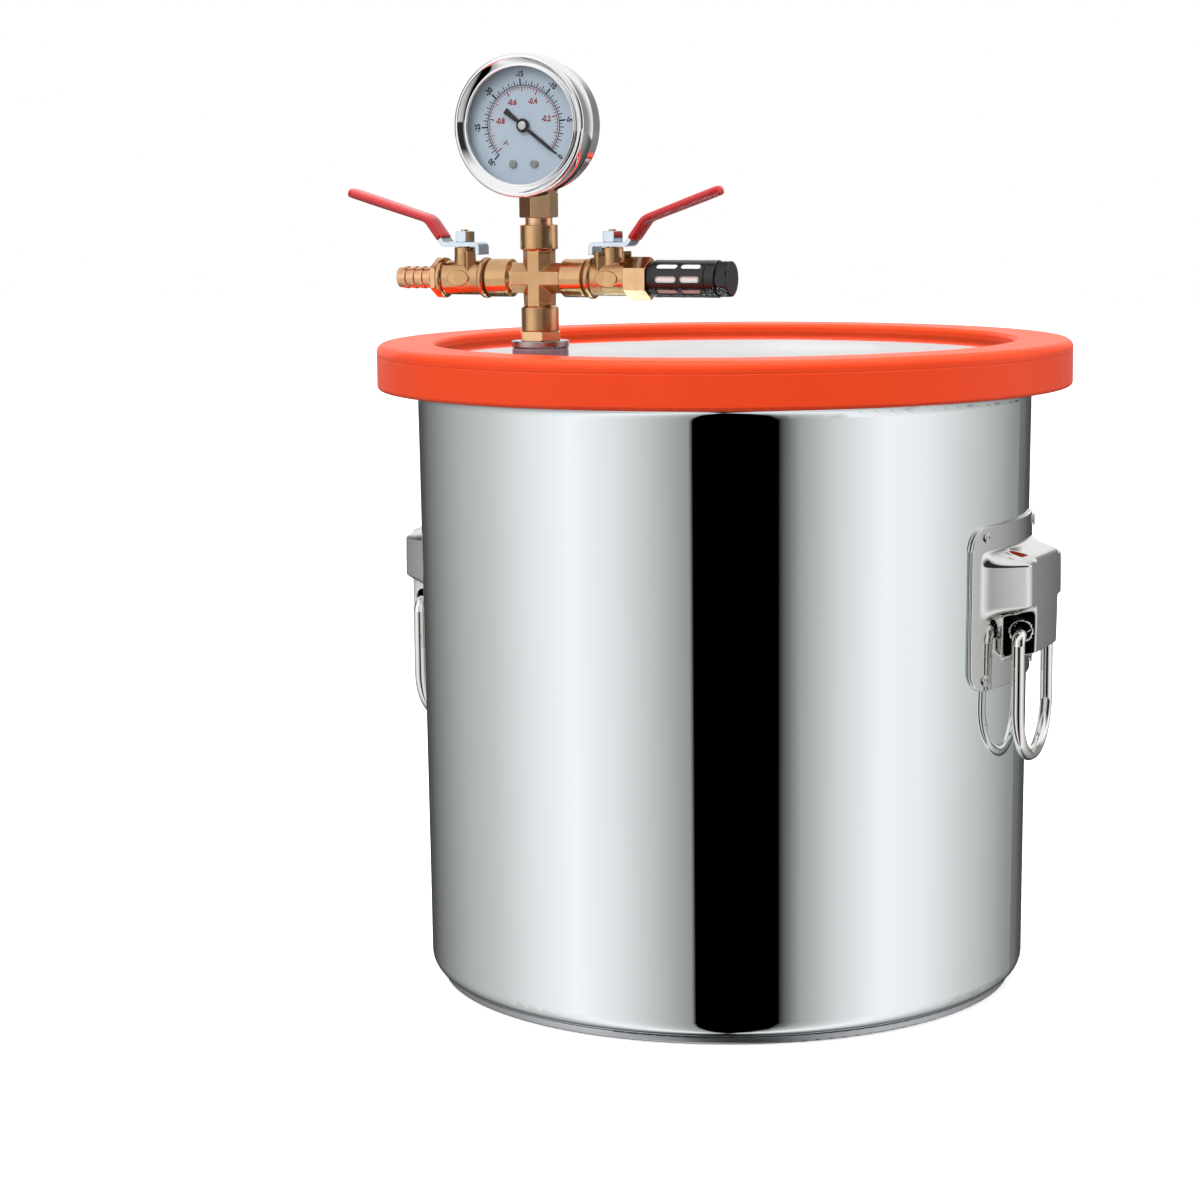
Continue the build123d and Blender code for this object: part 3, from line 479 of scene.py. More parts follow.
def on_dial(across, up, lift):
    """Points on the dial's face: across and up in metres, lifted towards the reader."""
    return np.stack([DIAL_X + across, np.full_like(across, DIAL_FACE_Y - lift), DIAL_Z + up], -1)


def arc_mesh(radius, width, start, end, lift):
    """A printed arc: (r cos a, r sin a) for r across the line's width and a from start to
    end."""
    across = np.array([[radius - width / 2], [radius + width / 2]])
    angle = np.linspace(start, end, 181)[None, :]
    return grid_mesh(on_dial(across * np.cos(angle), across * np.sin(angle), lift))


def tick_mesh(angle, radius, inwards, kinds, lift):
    """Printed ticks at an array of angles: each is a short bar along its radius, from the
    arc inwards or outwards. A later kind of tick overrules an earlier one."""
    length = np.zeros(len(angle))
    width = np.zeros(len(angle))
    for every, long, wide in kinds:
        length[::every] = long * MM
        width[::every] = wide * MM
    inner = radius - length * inwards
    outer = inner + length
    radial = np.stack([inner, outer, outer, inner], 1)
    side = np.stack([-width, -width, width, width], 1) / 2
    across = radial * np.cos(angle)[:, None] - side * np.sin(angle)[:, None]
    up = radial * np.sin(angle)[:, None] + side * np.cos(angle)[:, None]
    return mesh_from(on_dial(across, up, lift), np.arange(radial.size).reshape(-1, 4).tolist())


def number_mesh(labels, height, lift):
    """Printed numbers, each (text, angle, radius, turn): the flat text's triangles are
    narrowed, turned, and moved out along the angle by the radius."""
    points, triangles = [], []
    for text, angle, radius, turn in labels:
        curve = bpy.data.curves.new("number", "FONT")
        curve.body = text
        curve.size = height
        curve.align_x = "CENTER"
        curve.align_y = "CENTER"
        curve.resolution_u = 3
        curve.offset = NUMBER_BOLDNESS * height
        holder = bpy.data.objects.new("number", curve)
        mesh = bpy.data.meshes.new_from_object(holder)
        flat = np.empty(len(mesh.vertices) * 3)
        mesh.vertices.foreach_get("co", flat)
        corners = np.empty(len(mesh.loops), int)
        mesh.loops.foreach_get("vertex_index", corners)
        wide, tall, _ = flat.reshape(-1, 3).T
        wide = wide * NUMBER_NARROWING
        across = wide * cos(turn) - tall * sin(turn) + radius * cos(angle)
        up = wide * sin(turn) + tall * cos(turn) + radius * sin(angle)
        triangles.append(corners.reshape(-1, 3) + sum(len(part) for part in points))
        points.append(on_dial(across, up, lift))
        bpy.data.objects.remove(holder)
        bpy.data.curves.remove(curve)
        bpy.data.meshes.remove(mesh)
    return mesh_from(np.concatenate(points), np.concatenate(triangles).tolist())


class CHAMBER_OT_dial(bpy.types.Operator):
    """Print the dial: a black scale to -30, a red scale to -1 and their numbers"""
    bl_idname = "chamber.dial"
    bl_label = "Dial printing"

    def execute(self, context):
        settings = context.scene.chamber_dial
        arc = settings.arc_radius
        red_arc = arc - RED_ARC_INSET
        zero = settings.zero_angle
        step = settings.step_angle
        sweep = (SCALE_NUMBERS - 1) * step
        red_sweep = step * INCHES_PER_BAR / SCALE_STEP_INCHES
        lift = settings.print_height
        height = settings.number_height
        angles = zero + step * np.arange(SCALE_NUMBERS)
        red_angles = np.linspace(zero, zero + red_sweep, len(RED_NUMBERS))
        ticks = TICKS_PER_NUMBER * (SCALE_NUMBERS - 1) + 1
        red_ticks = TICKS_PER_NUMBER * (len(RED_NUMBERS) - 1) + 1
        labels = [(str(-SCALE_STEP_INCHES * index), angle, arc + BLACK_NUMBER_OFFSET,
                   angle - pi / 2) for index, angle in enumerate(angles)]
        red_labels = [(text, angle, arc + RED_NUMBER_OFFSET, 0.0)
                      for text, angle in zip(RED_NUMBERS, red_angles)]
        # The two end numbers of the red scale stand along their radius, the others upright
        for end in (0, -1):
            text, angle, radius, _ = red_labels[end]
            red_labels[end] = (text, angle, radius, angle - pi / 2)
        black = painted("printed_black_ink", linear("#050506"), linear("#0A0A0C"), 0.5, 6.0)
        red = painted("printed_red_ink", linear("#8C1020"), linear("#A01628"), 0.5, 6.0)
        pieces = {
            "dial_black_arc": (arc_mesh(arc, BLACK_LINE, zero, zero + sweep, lift), black),
            "dial_red_arc": (arc_mesh(red_arc, RED_LINE, zero, zero + red_sweep, lift), red),
            "dial_black_ticks": (tick_mesh(np.linspace(zero, zero + sweep, ticks), arc, False,
                                           BLACK_TICKS, lift), black),
            "dial_red_ticks": (tick_mesh(np.linspace(zero, zero + red_sweep, red_ticks),
                                         red_arc, True, RED_TICKS, lift), red),
            "dial_black_numbers": (number_mesh(labels, height, lift), black),
            "dial_red_numbers": (number_mesh(red_labels, height, lift), red),
        }
        for name, (mesh, ink) in pieces.items():
            place_piece(name, mesh, "chamber", ink)
        return {"FINISHED"}


# ---- Vinyl sleeves

SLEEVE_BEND = 7 * MM
SLEEVE_SPOTS = 90
SLEEVE_SIDES = 40
# The section is |y/w|^n + |h/t|^n = 1
SECTION_POWER = 3
# Runs over which the sleeve's width and thickness close at the tip
TIP_WIDTH_RUN = 5 * MM
TIP_THICKNESS_RUN = 1.9 * MM
# The mouth is a little narrower, and the sleeve swells along the grip
LIP_LENGTH = 0.8 * MM
LIP_SHARE = 0.84
SWELL_SHARE = 0.10
SWELL_START = 12 * MM
SWELL_LENGTH = 30 * MM
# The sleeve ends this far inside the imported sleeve's tip
TIP_GAP = 0.4 * MM


def sleeve_mesh(side, stem, axis_z, reach, settings):
    """A dipped sleeve swept along the bent strip, with the section (w c, t s), where c and
    s are the cosine and sine of the angle to the power 2/n. Width and thickness close
    with quarter ellipses at the tip."""
    seat = settings.seat
    slope = settings.crest_rise / (settings.crest - settings.knee)
    mouth = (settings.start, seat + (settings.start - settings.knee) * slope)
    crest = (settings.crest, seat + settings.crest_rise)
    tip = (reach, seat + settings.tip_rise)
    points, tangents, spots = resampled(rounded_line([mouth, crest, tip], [SLEEVE_BEND]),
                                        SLEEVE_SPOTS)
    left = spots[-1] - spots
    lip = soft_step(spots / LIP_LENGTH) * (1 - LIP_SHARE) + LIP_SHARE
    swell = 1 + SWELL_SHARE * soft_step((spots - SWELL_START) / SWELL_LENGTH)
    wide = settings.width / 2 * round_end(left, TIP_WIDTH_RUN) * lip
    thick = settings.thickness / 2 * round_end(left, TIP_THICKNESS_RUN) * lip * swell
    angle = np.linspace(0, 2 * pi, SLEEVE_SIDES, endpoint=False)[None, :]
    c, s = (np.sign(wave) * np.abs(wave) ** (2 / SECTION_POWER)
            for wave in (np.cos(angle), np.sin(angle)))
    lift = thick[:, None] * s
    grid = np.stack([
        stem[0] + side * (points[:, :1] - tangents[:, 1:] * lift),
        stem[1] + wide[:, None] * c,
        axis_z + points[:, 1:] + tangents[:, :1] * lift,
    ], -1)
    index = np.arange(SLEEVE_SPOTS * SLEEVE_SIDES).reshape(SLEEVE_SPOTS, SLEEVE_SIDES)
    ends = [index[0].tolist(), index[-1].tolist()]
    mesh = mesh_from(grid, grid_quads(*index.shape, closed_v=True).tolist() + ends)
    face_outwards(mesh)
    return mesh


class CHAMBER_OT_sleeves(bpy.types.Operator):
    """Cover both valve levers with dipped red vinyl"""
    bl_idname = "chamber.sleeves"
    bl_label = "Lever sleeves"

    def execute(self, context):
        settings = context.scene.chamber_lever
        vinyl = dipped_vinyl("dipped_red_vinyl", context.scene.chamber_colours.vinyl)
        axis_z = middle_of("cross")[2]
        for hand, side in (("left", -1), ("right", 1)):
            stem = middle_of(f"{hand}_valve_stem")
            low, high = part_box(f"{hand}_lever_sleeve")
            reach = (high[0] - stem[0]) if side > 0 else (stem[0] - low[0])
            mesh = sleeve_mesh(side, stem, axis_z, reach - TIP_GAP, settings)
            piece = place_piece(f"{hand}_vinyl_sleeve", mesh, f"{hand}_valve_lever",
                                vinyl)
            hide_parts(f"{hand}_lever_sleeve")
        return {"FINISHED"}


# ---- Stamped handle plates

# The pot's outer wall: its radius at the foot, and how much it widens to the rim
WALL_FOOT_RADIUS = 147.2 * MM
WALL_TAPER = 2.3 * MM
# Stretches of the plate as (end, lines of points) in millimetres from its middle, closer
# together at the bends: from the middle to a side, and from the foot to the top
SIDE_STRETCHES = ((0, 0), (16, 10), (25, 34), (45, 36), (50, 6))
RISE_STRETCHES = ((-38.5, 0), (-36, 6), (-28, 8), (-18, 22), (-3, 32), (4, 14), (18, 12),
                  (29, 26), (36, 6), (38.5, 6))
# Widths of the pressing's flanks at its sides, top and foot
BODY_FLANKS = (5.5 * MM, 6.0 * MM, 5.0 * MM)
WING_FLANKS = (19.0 * MM, 7.5 * MM, 7.0 * MM)
# The crown is slightly domed: it drops towards its sides and towards its top and foot
CROWN_SIDE_DROP = 0.7 * MM
CROWN_SIDE_REACH = 26 * MM
CROWN_END_DROP = 0.5 * MM
CROWN_MIDDLE = 2 * MM
# Room under the ring's rod in its holes
ROD_SLACK = 0.3 * MM


def stretches(stops):
    """Shares of the last end along stretches of (end, count), so that bends get more."""
    runs = [np.array([stops[0][0]])]
    for (start, _), (end, count) in zip(stops, stops[1:]):
        runs.append(np.linspace(start, end, count + 1)[1:])
    return np.concatenate(runs) / stops[-1][0]


def pressing(across, up, settings):
    """The pressing's height as a share of its depth: 1 - (1 - body)(1 - shoulders), each
    the product of its flanks at the sides, the top and the foot."""
    top = settings.body_height / 2
    away = np.abs(across)
    side, head, foot = BODY_FLANKS
    body = (soft_step((settings.body_width / 2 - away) / side)
            * soft_step((top - up) / head) * soft_step((up + top) / foot))
    side, head, foot = WING_FLANKS
    shoulders = (round_ramp((settings.wing_width / 2 - away) / side)
                 * soft_step((top - up) / head)
                 * soft_step((up - top + settings.wing_height) / foot))
    return 1 - (1 - body) * (1 - shoulders)


def cut_holes(points, quads, hole, radius):
    """Leave out the quads within a radius of a line along Y through (x, z), and pull the
    points on the opening's edge onto that circle."""
    inside = np.linalg.norm(points[quads].mean(1)[:, ::2] - hole, axis=1) < radius
    edge = np.intersect1d(quads[inside], quads[~inside])
    spokes = points[edge, ::2] - hole
    points[edge, ::2] = hole + spokes * radius / np.linalg.norm(spokes, axis=1, keepdims=True)
    return quads[~inside]


def plate_mesh(side, settings):
    """A plate bent to the pot's tapered wall, x^2 + y^2 = r(z)^2, with rounded corners,
    where the pressing carries the sheet from the wall to the crown."""
    low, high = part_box("handle_plate_right")
    middle = (low[2] + high[2]) / 2
    half_height = (high[2] - low[2]) / 2
    half_width = (high[1] - low[1]) / 2
    share = stretches(SIDE_STRETCHES)
    share = np.concatenate([-share[:0:-1], share])[:, None]
    up = stretches(RISE_STRETCHES)[None, :] * half_height
    corner = settings.corner
    past = np.clip(np.abs(up) - (half_height - corner), 0, corner)
    y = share * (half_width - corner + np.sqrt(corner ** 2 - past ** 2))
    z = np.broadcast_to(up, y.shape) + middle
    pot_low, pot_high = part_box("pot")
    climb = (z - pot_low[2]) / (pot_high[2] - pot_low[2])
    wall = np.sqrt((WALL_FOOT_RADIUS + WALL_TAPER * climb + settings.gap) ** 2 - y ** 2)
    foot = wall + settings.sheet
    crown = (high[0] - CROWN_SIDE_DROP * (y / CROWN_SIDE_REACH) ** 2
             - CROWN_END_DROP * ((up - CROWN_MIDDLE) / (settings.body_height / 2)) ** 2)
    x = foot + pressing(y, up, settings) * (crown - foot)
    points = np.stack([x, y, z], -1).reshape(-1, 3)
    ring_low, ring_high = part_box("handle_ring_right")
    rod_width = ring_high[0] - ring_low[0]
    hole = np.array([(ring_low[0] + ring_high[0]) / 2,
                     ring_high[2] - rod_width - ROD_SLACK + settings.hole_radius])
    quads = cut_holes(points, grid_quads(*x.shape), hole, settings.hole_radius)
    # The left plate is the right one's mirror, so its faces are turned round
    points[:, 0] *= side
    quads = quads[:, ::side]
    used, faces = np.unique(quads, return_inverse=True)
    mesh = mesh_from(points[used], faces.reshape(-1, 4).tolist())
    mesh.shade_smooth()
    return mesh


class CHAMBER_OT_handles(bpy.types.Operator):
    """Press the two stamped handle plates"""
    bl_idname = "chamber.handles"
    bl_label = "Handle plates"

    def execute(self, context):
        settings = context.scene.chamber_handle
        steel = polished_steel("stamped_polished_stainless", linear("#DEDEDC"), 0.07, 16.0, 0.05)
        for hand, side in (("right", 1), ("left", -1)):
            piece = place_piece(f"{hand}_stamped_plate", plate_mesh(side, settings), "chamber",
                                steel)
            thick = piece.modifiers.new("sheet", "SOLIDIFY")
            thick.thickness = settings.sheet
            thick.offset = -1
            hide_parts(f"handle_plate_{hand}")
        return {"FINISHED"}


# ---- Bezel

def bezel_profile(rim, back, settings):
    """The bezel's section as (radius, distance before the glass): a half round bead at the
    glass, a cove that rises as t^1.25, a quarter ellipse over to the rim, and a skirt
    that turns in at the back and returns behind the bead."""
    hole = settings.opening
    front = settings.front
    lip = 0.1 * MM
    bead_radius = 0.55 * MM
    bead_height = 0.75 * MM
    cove_end = hole + 4.1 * MM
    cove_power = 1.25
    roll_height = 1.6 * MM
    hem_width = 2.0 * MM
    hem_height = 1.0 * MM
    hem_corner = 0.3 * MM
    wall = 1.4 * MM
    floor = 0.05 * MM
    turn = np.linspace(0, pi, 9)
    bead = np.stack([hole + bead_radius * (1 - np.cos(turn)),
                     lip + bead_height * np.sin(turn)], 1)
    share = np.linspace(0, 1, 12)[1:]
    cove_start = hole + 2 * bead_radius
    cove = np.stack([cove_start + share * (cove_end - cove_start),
                     lip + (front - lip) * share ** cove_power], 1)
    turn = np.linspace(pi / 2, 0, 12)[1:]
    roll = np.stack([cove_end + (rim - cove_end) * np.cos(turn),
                     front - roll_height + roll_height * np.sin(turn)], 1)
    skirt = np.array([
        (rim, back + 2 * hem_corner), (rim - hem_corner, back), (rim - hem_width, back),
        (rim - hem_width, back + hem_height), (rim - wall, floor), (hole, floor),
    ])
    return np.concatenate([bead, cove, roll, skirt])


class CHAMBER_OT_bezel(bpy.types.Operator):
    """Turn the gauge's bezel: a bead at the glass, a cove and a rolled rim"""
    bl_idname = "chamber.bezel"
    bl_label = "Gauge bezel"

    def execute(self, context):
        low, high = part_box("gauge_bezel")
        x, _, z = middle_of("gauge_bezel")
        glass_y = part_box("gauge_window")[0][1]
        profile = bezel_profile((high[0] - low[0]) / 2, glass_y - high[1],
                                context.scene.chamber_bezel)
        mesh = turned_profile(profile, (x, glass_y, z))
        face_outwards(mesh)
        chrome = polished_steel("chromed_bezel", linear("#F1F1F2"), 0.05, 30.0, 0.01)
        piece = place_piece("turned_bezel", mesh, "chamber", chrome)
        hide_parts("gauge_bezel")
        return {"FINISHED"}


# ---- Filter's felt

FELT_BORE = 3.5 * MM
CAGE_WALL = 0.7 * MM
FELT_STEPS = (72, 40)
# How steeply the felt's ends round off
FELT_END_SLOPE = 12


class CHAMBER_OT_felt(bpy.types.Operator):
    """Fill the inlet filter's cage with a felt tube"""
    bl_idname = "chamber.felt"
    bl_label = "Filter felt"

    def execute(self, context):
        mesh = felt_mesh()
        felt = wool_felt("pressed_white_felt")
        piece = place_piece("felt_tube", mesh, "chamber", felt)
        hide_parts("filter_element")
        return {"FINISHED"}


def felt_mesh():
    """A felt tube that swells into the cage's slots. Along its length, t from 0 to 1, its
    radius is bore + (outer - bore) min(12 sin(pi t), 1), and the bore joins both ends."""
    low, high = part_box("filter_element")
    _, y, z = middle_of("filter_element")
    cage_low, cage_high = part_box("filter_cage")
    outer = (cage_high[2] - cage_low[2]) / 2 - CAGE_WALL
    share = np.linspace(0, 1, FELT_STEPS[1])[None, :]
    angle = np.linspace(0, 2 * pi, FELT_STEPS[0], endpoint=False)[:, None]
    swell = np.minimum(np.sin(pi * share) * FELT_END_SLOPE, 1)
    radius = FELT_BORE + swell * (outer - FELT_BORE)
    points = np.stack([
        np.broadcast_to(low[0] + share * (high[0] - low[0]), FELT_STEPS),
        y + radius * np.cos(angle),
        z + radius * np.sin(angle),
    ], -1)
    mesh = grid_mesh(points, closed_u=True, closed_v=True)
    face_outwards(mesh)
    return mesh


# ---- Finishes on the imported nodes

# How far the ring's parting line lies below its top
RING_SEAM_DROP = 5.7 * MM
# Distance from each casting's middle to where it is machined, in millimetres
CASTINGS = {"cross": 13.2, "left_valve_body": 11.5, "right_valve_body": 10.5}


class CHAMBER_OT_pot(bpy.types.Operator):
    """Finish the pot, its base, the handle rings and the rivets in stainless steel"""
    bl_idname = "chamber.pot"
    bl_label = "Steel finishes"

    def execute(self, context):
        colours = context.scene.chamber_colours
        dress(polished_steel("mirror_polished_stainless", colours.steel, 0.02, 90.0, 0.01), "pot")
        dress(spun_steel("spun_stainless_base", linear("#B9BBBE"), 0.28, 5.03, (0, 0)), "base_disc")
        dress(polished_steel("rivet_stainless", linear("#D8D8D6"), 0.2, 5.0, 0.02),
              "handle_rivets_right", "handle_rivets_left")
        dress(polished_steel("polished_round_bar", linear("#F0EFEC"), 0.08, 8.0, 0.02),
              "handle_ring_right", "handle_ring_left")
        return {"FINISHED"}


class CHAMBER_OT_lid(bpy.types.Operator):
    """Finish the clear lid and the orange ring that holds it"""
    bl_idname = "chamber.lid"
    bl_label = "Lid finishes"

    def execute(self, context):
        colours = context.scene.chamber_colours
        seam_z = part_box("lid_ring")[1][2] - RING_SEAM_DROP
        dress(moulded_silicone("moulded_orange_silicone", colours.silicone, seam_z), "lid_ring")
        dress(clear_sheet("cast_clear_acrylic", linear("#F3F6F6"), 0.03, 1.49), "lid")
        return {"FINISHED"}


class CHAMBER_OT_manifold(bpy.types.Operator):
    """Finish the brass fittings, valves, levers and the inlet filter"""
    bl_idname = "chamber.manifold"
    bl_label = "Manifold finishes"

    def execute(self, context):
        brass = context.scene.chamber_colours.brass
        for node, reach_mm in CASTINGS.items():
            dress(cast_brass(f"cast_brass_{node}", brass, middle_of(node), reach_mm), node)
        dress(turned_brass("turned_brass", linear("#EBC598")),
              "port_nipple", "port_lock_nut", "hex_end", "gauge_socket",
              "left_valve_stem", "right_valve_stem", "movement_frame")
        dress(turned_brass("turned_red_brass", linear("#F3B98E")), "hose_barb")
        dress(spun_steel("turned_steel_washer", linear("#A9A4A4"), 0.2, 3.14,
                         middle_of("port_washer")),
              "port_washer", "port_lower_washer")
        dress(moulded_plastic("moulded_grey_rubber", linear("#75595F"), linear("#96787C"), 0.28, 0.7),
              "port_seal", "port_lower_seal")
        dress(polished_steel("zinc_plated_strip", linear("#CBD8E2"), 0.16, 4.0, 0.02, 0.5),
              "left_lever", "right_lever", "left_lever_nut", "right_lever_nut")
        dress(polished_steel("plated_ball", linear("#F0F0F0"), 0.06, 5.0, 0.0),
              "left_valve_ball", "right_valve_ball")
        dress(moulded_plastic("white_fluoropolymer", linear("#EDEDE8"), linear("#FAFAF6"), 0.45, 0.5),
              "left_valve_seats", "right_valve_seats",
              "left_valve_packing", "right_valve_packing")
        dress(moulded_plastic("moulded_black_nylon", linear("#08080A"), linear("#101013"), 0.26, 0.5),
              "filter_cage", "filter_cap")
        return {"FINISHED"}


class CHAMBER_OT_gauge(bpy.types.Operator):
    """Finish the gauge's case, window, dial, screws and pointer"""
    bl_idname = "chamber.gauge"
    bl_label = "Gauge finishes"

    def execute(self, context):
        colours = context.scene.chamber_colours
        dress(polished_steel("pressed_steel_case", linear("#D9DADC"), 0.12, 10.0, 0.02),
              "gauge_case")
        dress(painted("satin_pointer_cap", linear("#C9C9C6"), linear("#D6D6D3"), 0.35, 4.0),
              "pointer_cap")
        dress(clear_sheet("coated_gauge_glass", linear("#FAFCFD"), 0.01, 1.12), "gauge_window")
        dress(painted("lacquered_dial", linear("#B9C6D4"), colours.dial, 0.5, 12.0), "gauge_dial")
        dress(painted("black_painted_pointer", linear("#08080A"), linear("#121214"), 0.4, 5.0),
              "pointer")
        dress(polished_steel("small_steel_screws", linear("#8E8E8C"), 0.25, 2.0, 0.01),
              "dial_screws", "pointer_arbor")
        return {"FINISHED"}


# ---- Studio

# Brightness of the room round the chamber, by angle from the camera towards its right.
# The low part is what the pot mirrors: dim behind, two soft white walls at the sides and
# a narrow black flag by the camera. The high part is what the fittings mirror: white in
# front and behind, with dark gaps between the walls.
LOW_ROOM = (
    (-180, 0.01), (-155, 0.10), (-135, 0.28), (-116, 0.46), (-97, 0.60), (-76, 0.86),
    (-58, 1.02), (-41, 0.84), (-25, 0.55), (-13, 0.33), (-11.5, 0.30), (-11.3, 0.0),
    (20.2, 0.0), (20.4, 0.05), (24, 0.20), (28, 0.38), (43, 0.72), (61, 1.0), (79, 0.92),
    (101, 0.66), (121, 0.47), (139, 0.28), (155, 0.10), (180, 0.01),
)
HIGH_ROOM = (
    (-180, 1.0), (-155, 0.95), (-135, 0.30), (-118, 0.06), (-100, 0.10), (-84, 0.75),
    (-66, 1.30), (-42, 1.25), (-20, 0.75), (0, 0.60), (12, 0.55), (20, 0.30), (28, 0.03),
    (62, 0.03), (74, 0.45), (90, 1.15), (110, 1.0), (128, 0.25), (146, 0.30), (160, 0.95),
    (180, 1.0),
)
# Sines of the elevations between which one part of the room gives way to the next
LOW_TO_HIGH = {"From Min": -0.080, "From Max": -0.062}
HIGH_TO_CEILING = {"From Min": 0.45, "From Max": 0.75}
# Light that falls on dull surfaces, from a little below level to high above
SOFT_LIGHT = {"From Min": -0.1, "From Max": 0.9, "To Min": 0.35, "To Max": 1.35}
WHITE = (1.0, 1.0, 1.0, 1.0)
SHADE_GREY = (0.22, 0.22, 0.22, 1.0)
# Lights as (name, angle from the camera, elevation, distance, width, power)
LIGHTS = (
    ("key_light", -50, 50, 2.4, 1.6, 36),
    ("fill_light", 60, 35, 2.4, 1.8, 20),
    ("top_light", 0, 88, 2.6, 2.4, 42),
)
# Height of the point on the pot's axis that the lights look at
LIT_HEIGHT = 0.2


def room_ramp(tree, share, stops):
    """A colour ramp from (degrees, brightness) stops round the whole turn."""
    ramp = add_node(tree, "ValToRGB", links={"Fac": share})
    elements = ramp.color_ramp.elements
    while len(elements) < len(stops):
        elements.new(0.5)
    for element, (degree, level) in zip(elements, stops):
        element.position = (degree + 180) / 360
        element.color = (level, level, level, 1)
    return ramp


def studio_world(azimuth):
    """A white world for the camera, and for reflections a room whose brightness runs round
    the vertical axis by the angle of the direction, with a white ceiling above."""
    world = bpy.data.worlds.new("studio")
    bpy.context.scene.world = world
    world.use_nodes = True
    tree = world.node_tree
    tree.nodes.clear()
    place = add_node(tree, "TexCoord")
    turn = add_node(tree, "Mapping", {"Rotation": (0, 0, pi / 2 - azimuth)},
                    {"Vector": place.outputs["Generated"]})
    axes = add_node(tree, "SeparateXYZ", links={"Vector": turn})
    angle = add_node(tree, "Math", {"operation": "ARCTAN2"},
                     {0: axes.outputs["Y"], 1: axes.outputs["X"]})
    share = add_node(tree, "Math", {"operation": "MULTIPLY_ADD", 1: 0.5 / pi, 2: 0.5}, {0: angle})
    low = room_ramp(tree, share, LOW_ROOM)
    high = room_ramp(tree, share, HIGH_ROOM)
    level = add_node(tree, "MapRange", LOW_TO_HIGH, {"Value": axes.outputs["Z"]})
    walls = add_node(tree, "Mix", {"data_type": "RGBA"}, {"Factor": level, 6: low, 7: high})
    ceiling = add_node(tree, "MapRange", HIGH_TO_CEILING, {"Value": axes.outputs["Z"]})
    room = add_node(tree, "Mix", {"data_type": "RGBA", 7: WHITE},
                    {"Factor": ceiling, 6: walls.outputs[2]})
    soft = add_node(tree, "MapRange", SOFT_LIGHT, {"Value": axes.outputs["Z"]})
    path = add_node(tree, "LightPath")
    fill = add_node(tree, "Mix", {"data_type": "RGBA"},
                    {"Factor": path.outputs["Is Diffuse Ray"], 6: room.outputs[2], 7: soft})
    lit = add_node(tree, "Background", {"Strength": 1.0}, {"Color": fill.outputs[2]})
    seen = add_node(tree, "Background", {"Color": WHITE, "Strength": 1.0})
    pick = add_node(tree, "MixShader", links={0: path.outputs["Is Camera Ray"], 1: lit, 2: seen})
    add_node(tree, "OutputWorld", links={0: pick})


def area_light(name, azimuth, elevation, distance, width, power):
    """A soft square light that looks at the middle of the chamber."""
    data = bpy.data.lights.new(name, "AREA")
    data.shape = "SQUARE"
    data.size = width
    data.energy = power
    light = bpy.data.objects.new(name, data)
    bpy.context.scene.collection.objects.link(light)
    level = distance * cos(elevation)
    spot = (level * sin(azimuth), -level * cos(azimuth), LIT_HEIGHT + distance * sin(elevation))
    turn = Matrix.Rotation(azimuth, 4, "Z") @ Matrix.Rotation(pi / 2 - elevation, 4, "X")
    light.matrix_world = Matrix.Translation(spot) @ turn
    light.visible_glossy = False


def paper_floor(size):
    """A square floor of white paper. The camera sees it white, and to all else it is grey,
    so that it throws little light on the chamber from below."""
    half = size / 2
    corners = np.array([(-half, -half, 0), (half, -half, 0), (half, half, 0), (-half, half, 0)])
    mesh = mesh_from(corners, [(0, 1, 2, 3)])
    material, tree, bsdf, place = new_material("pale_paper", Roughness=0.9)
    cloud = add_node(tree, "TexNoise", {"Scale": grains(400), "Detail": 3}, {"Vector": place})
    shade(tree, bsdf, tones=(cloud, linear("#FAFAFA"), linear("#FFFFFF")))
    out = bsdf.outputs[0].links[0].to_node
    grey = add_node(tree, "BsdfDiffuse", {"Color": SHADE_GREY})
    glow = add_node(tree, "Emission", {"Color": WHITE, "Strength": 0.3})
    seen = add_node(tree, "AddShader", links={0: bsdf, 1: glow})
    path = add_node(tree, "LightPath")
    pick = add_node(tree, "MixShader", links={0: path.outputs["Is Camera Ray"], 1: grey, 2: seen})
    tree.links.new(pick.outputs[0], out.inputs[0])
    mesh.materials.append(material)
    floor = bpy.data.objects.new("studio_floor", mesh)
    bpy.context.scene.collection.objects.link(floor)
    floor.visible_glossy = False


def set_camera(stage):
    """Stand the camera at its distance and height, and aim it by its pan, tilt and roll."""
    data = bpy.data.cameras.new("camera")
    data.sensor_width = 36.0
    data.lens = stage.lens
    camera = bpy.data.objects.new("camera", data)
    bpy.context.scene.collection.objects.link(camera)
    spot = (stage.distance * sin(stage.azimuth), -stage.distance * cos(stage.azimuth),
            stage.height)
    aim = (Matrix.Rotation(stage.azimuth + stage.pan, 4, "Z")
           @ Matrix.Rotation(pi / 2 - stage.tilt, 4, "X")
           @ Matrix.Rotation(stage.roll, 4, "Z"))
    camera.matrix_world = Matrix.Translation(spot) @ aim
    bpy.context.scene.camera = camera


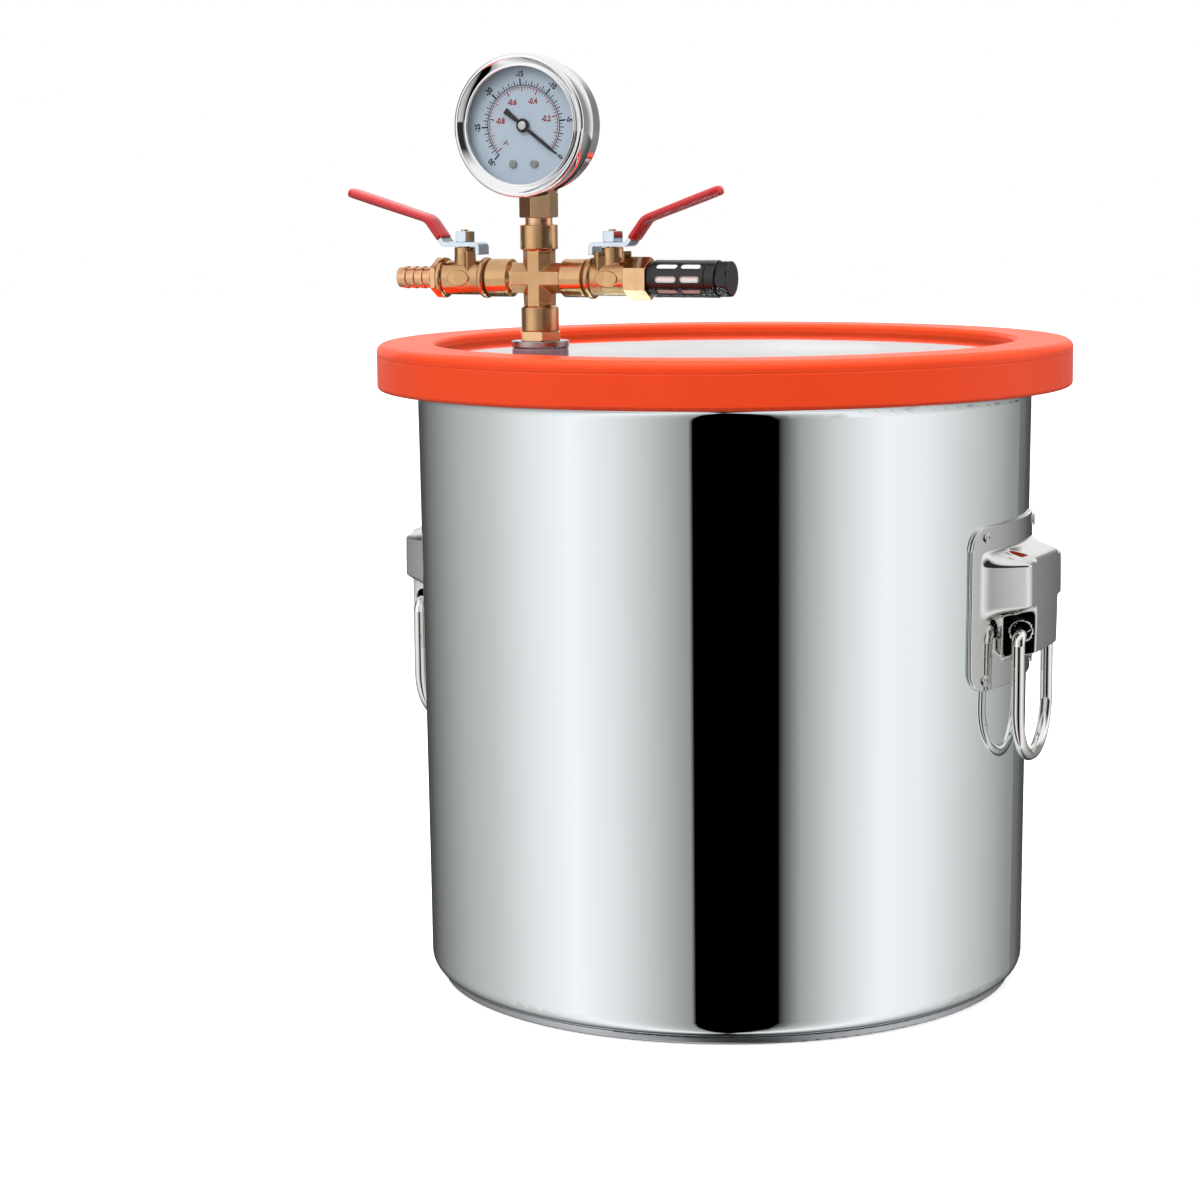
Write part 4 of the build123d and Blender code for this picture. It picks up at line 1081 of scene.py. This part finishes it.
class CHAMBER_OT_stage(bpy.types.Operator):
    """Set the pale floor, the studio light and the camera"""
    bl_idname = "chamber.stage"
    bl_label = "Studio"

    def execute(self, context):
        stage = context.scene.chamber_stage
        studio_world(stage.azimuth)
        paper_floor(stage.floor_size)
        for name, turn, elevation, distance, width, power in LIGHTS:
            area_light(name, stage.azimuth + radians(turn), radians(elevation), distance,
                       width, power)
        set_camera(stage)
        context.scene.view_settings.view_transform = "Standard"
        return {"FINISHED"}


# ---- Panel and running order

class CHAMBER_PT_panel(bpy.types.Panel):
    """The chamber's pieces and sizes"""
    bl_idname = "CHAMBER_PT_panel"
    bl_label = "Vacuum chamber"
    bl_space_type = "VIEW_3D"
    bl_region_type = "UI"
    bl_category = "Chamber"

    def draw(self, context):
        for name in OPERATORS:
            self.layout.operator(f"chamber.{name}")
        for group, _ in GROUPS:
            settings = getattr(context.scene, group)
            for key in settings.__annotations__:
                self.layout.prop(settings, key)


OPERATORS = ("stage", "pot", "handles", "lid", "manifold", "felt", "sleeves", "gauge", "bezel",
             "dial")
CLASSES = (
    DialSettings, LeverSettings, HandleSettings, BezelSettings, ColourSettings, StageSettings,
    CHAMBER_OT_stage, CHAMBER_OT_pot, CHAMBER_OT_handles, CHAMBER_OT_lid, CHAMBER_OT_manifold,
    CHAMBER_OT_felt, CHAMBER_OT_sleeves, CHAMBER_OT_gauge, CHAMBER_OT_bezel, CHAMBER_OT_dial,
    CHAMBER_PT_panel,
)
GROUPS = (
    ("chamber_dial", DialSettings), ("chamber_lever", LeverSettings),
    ("chamber_handle", HandleSettings), ("chamber_bezel", BezelSettings),
    ("chamber_colours", ColourSettings), ("chamber_stage", StageSettings),
)


def register():
    for kind in CLASSES:
        bpy.utils.register_class(kind)
    for name, kind in GROUPS:
        setattr(bpy.types.Scene, name, bpy.props.PointerProperty(type=kind))


def unregister():
    for name, _ in GROUPS:
        delattr(bpy.types.Scene, name)
    for kind in reversed(CLASSES):
        bpy.utils.unregister_class(kind)


def main():
    register()
    for name in OPERATORS:
        getattr(bpy.ops.chamber, name)()


if __name__ == "__main__":
    main()
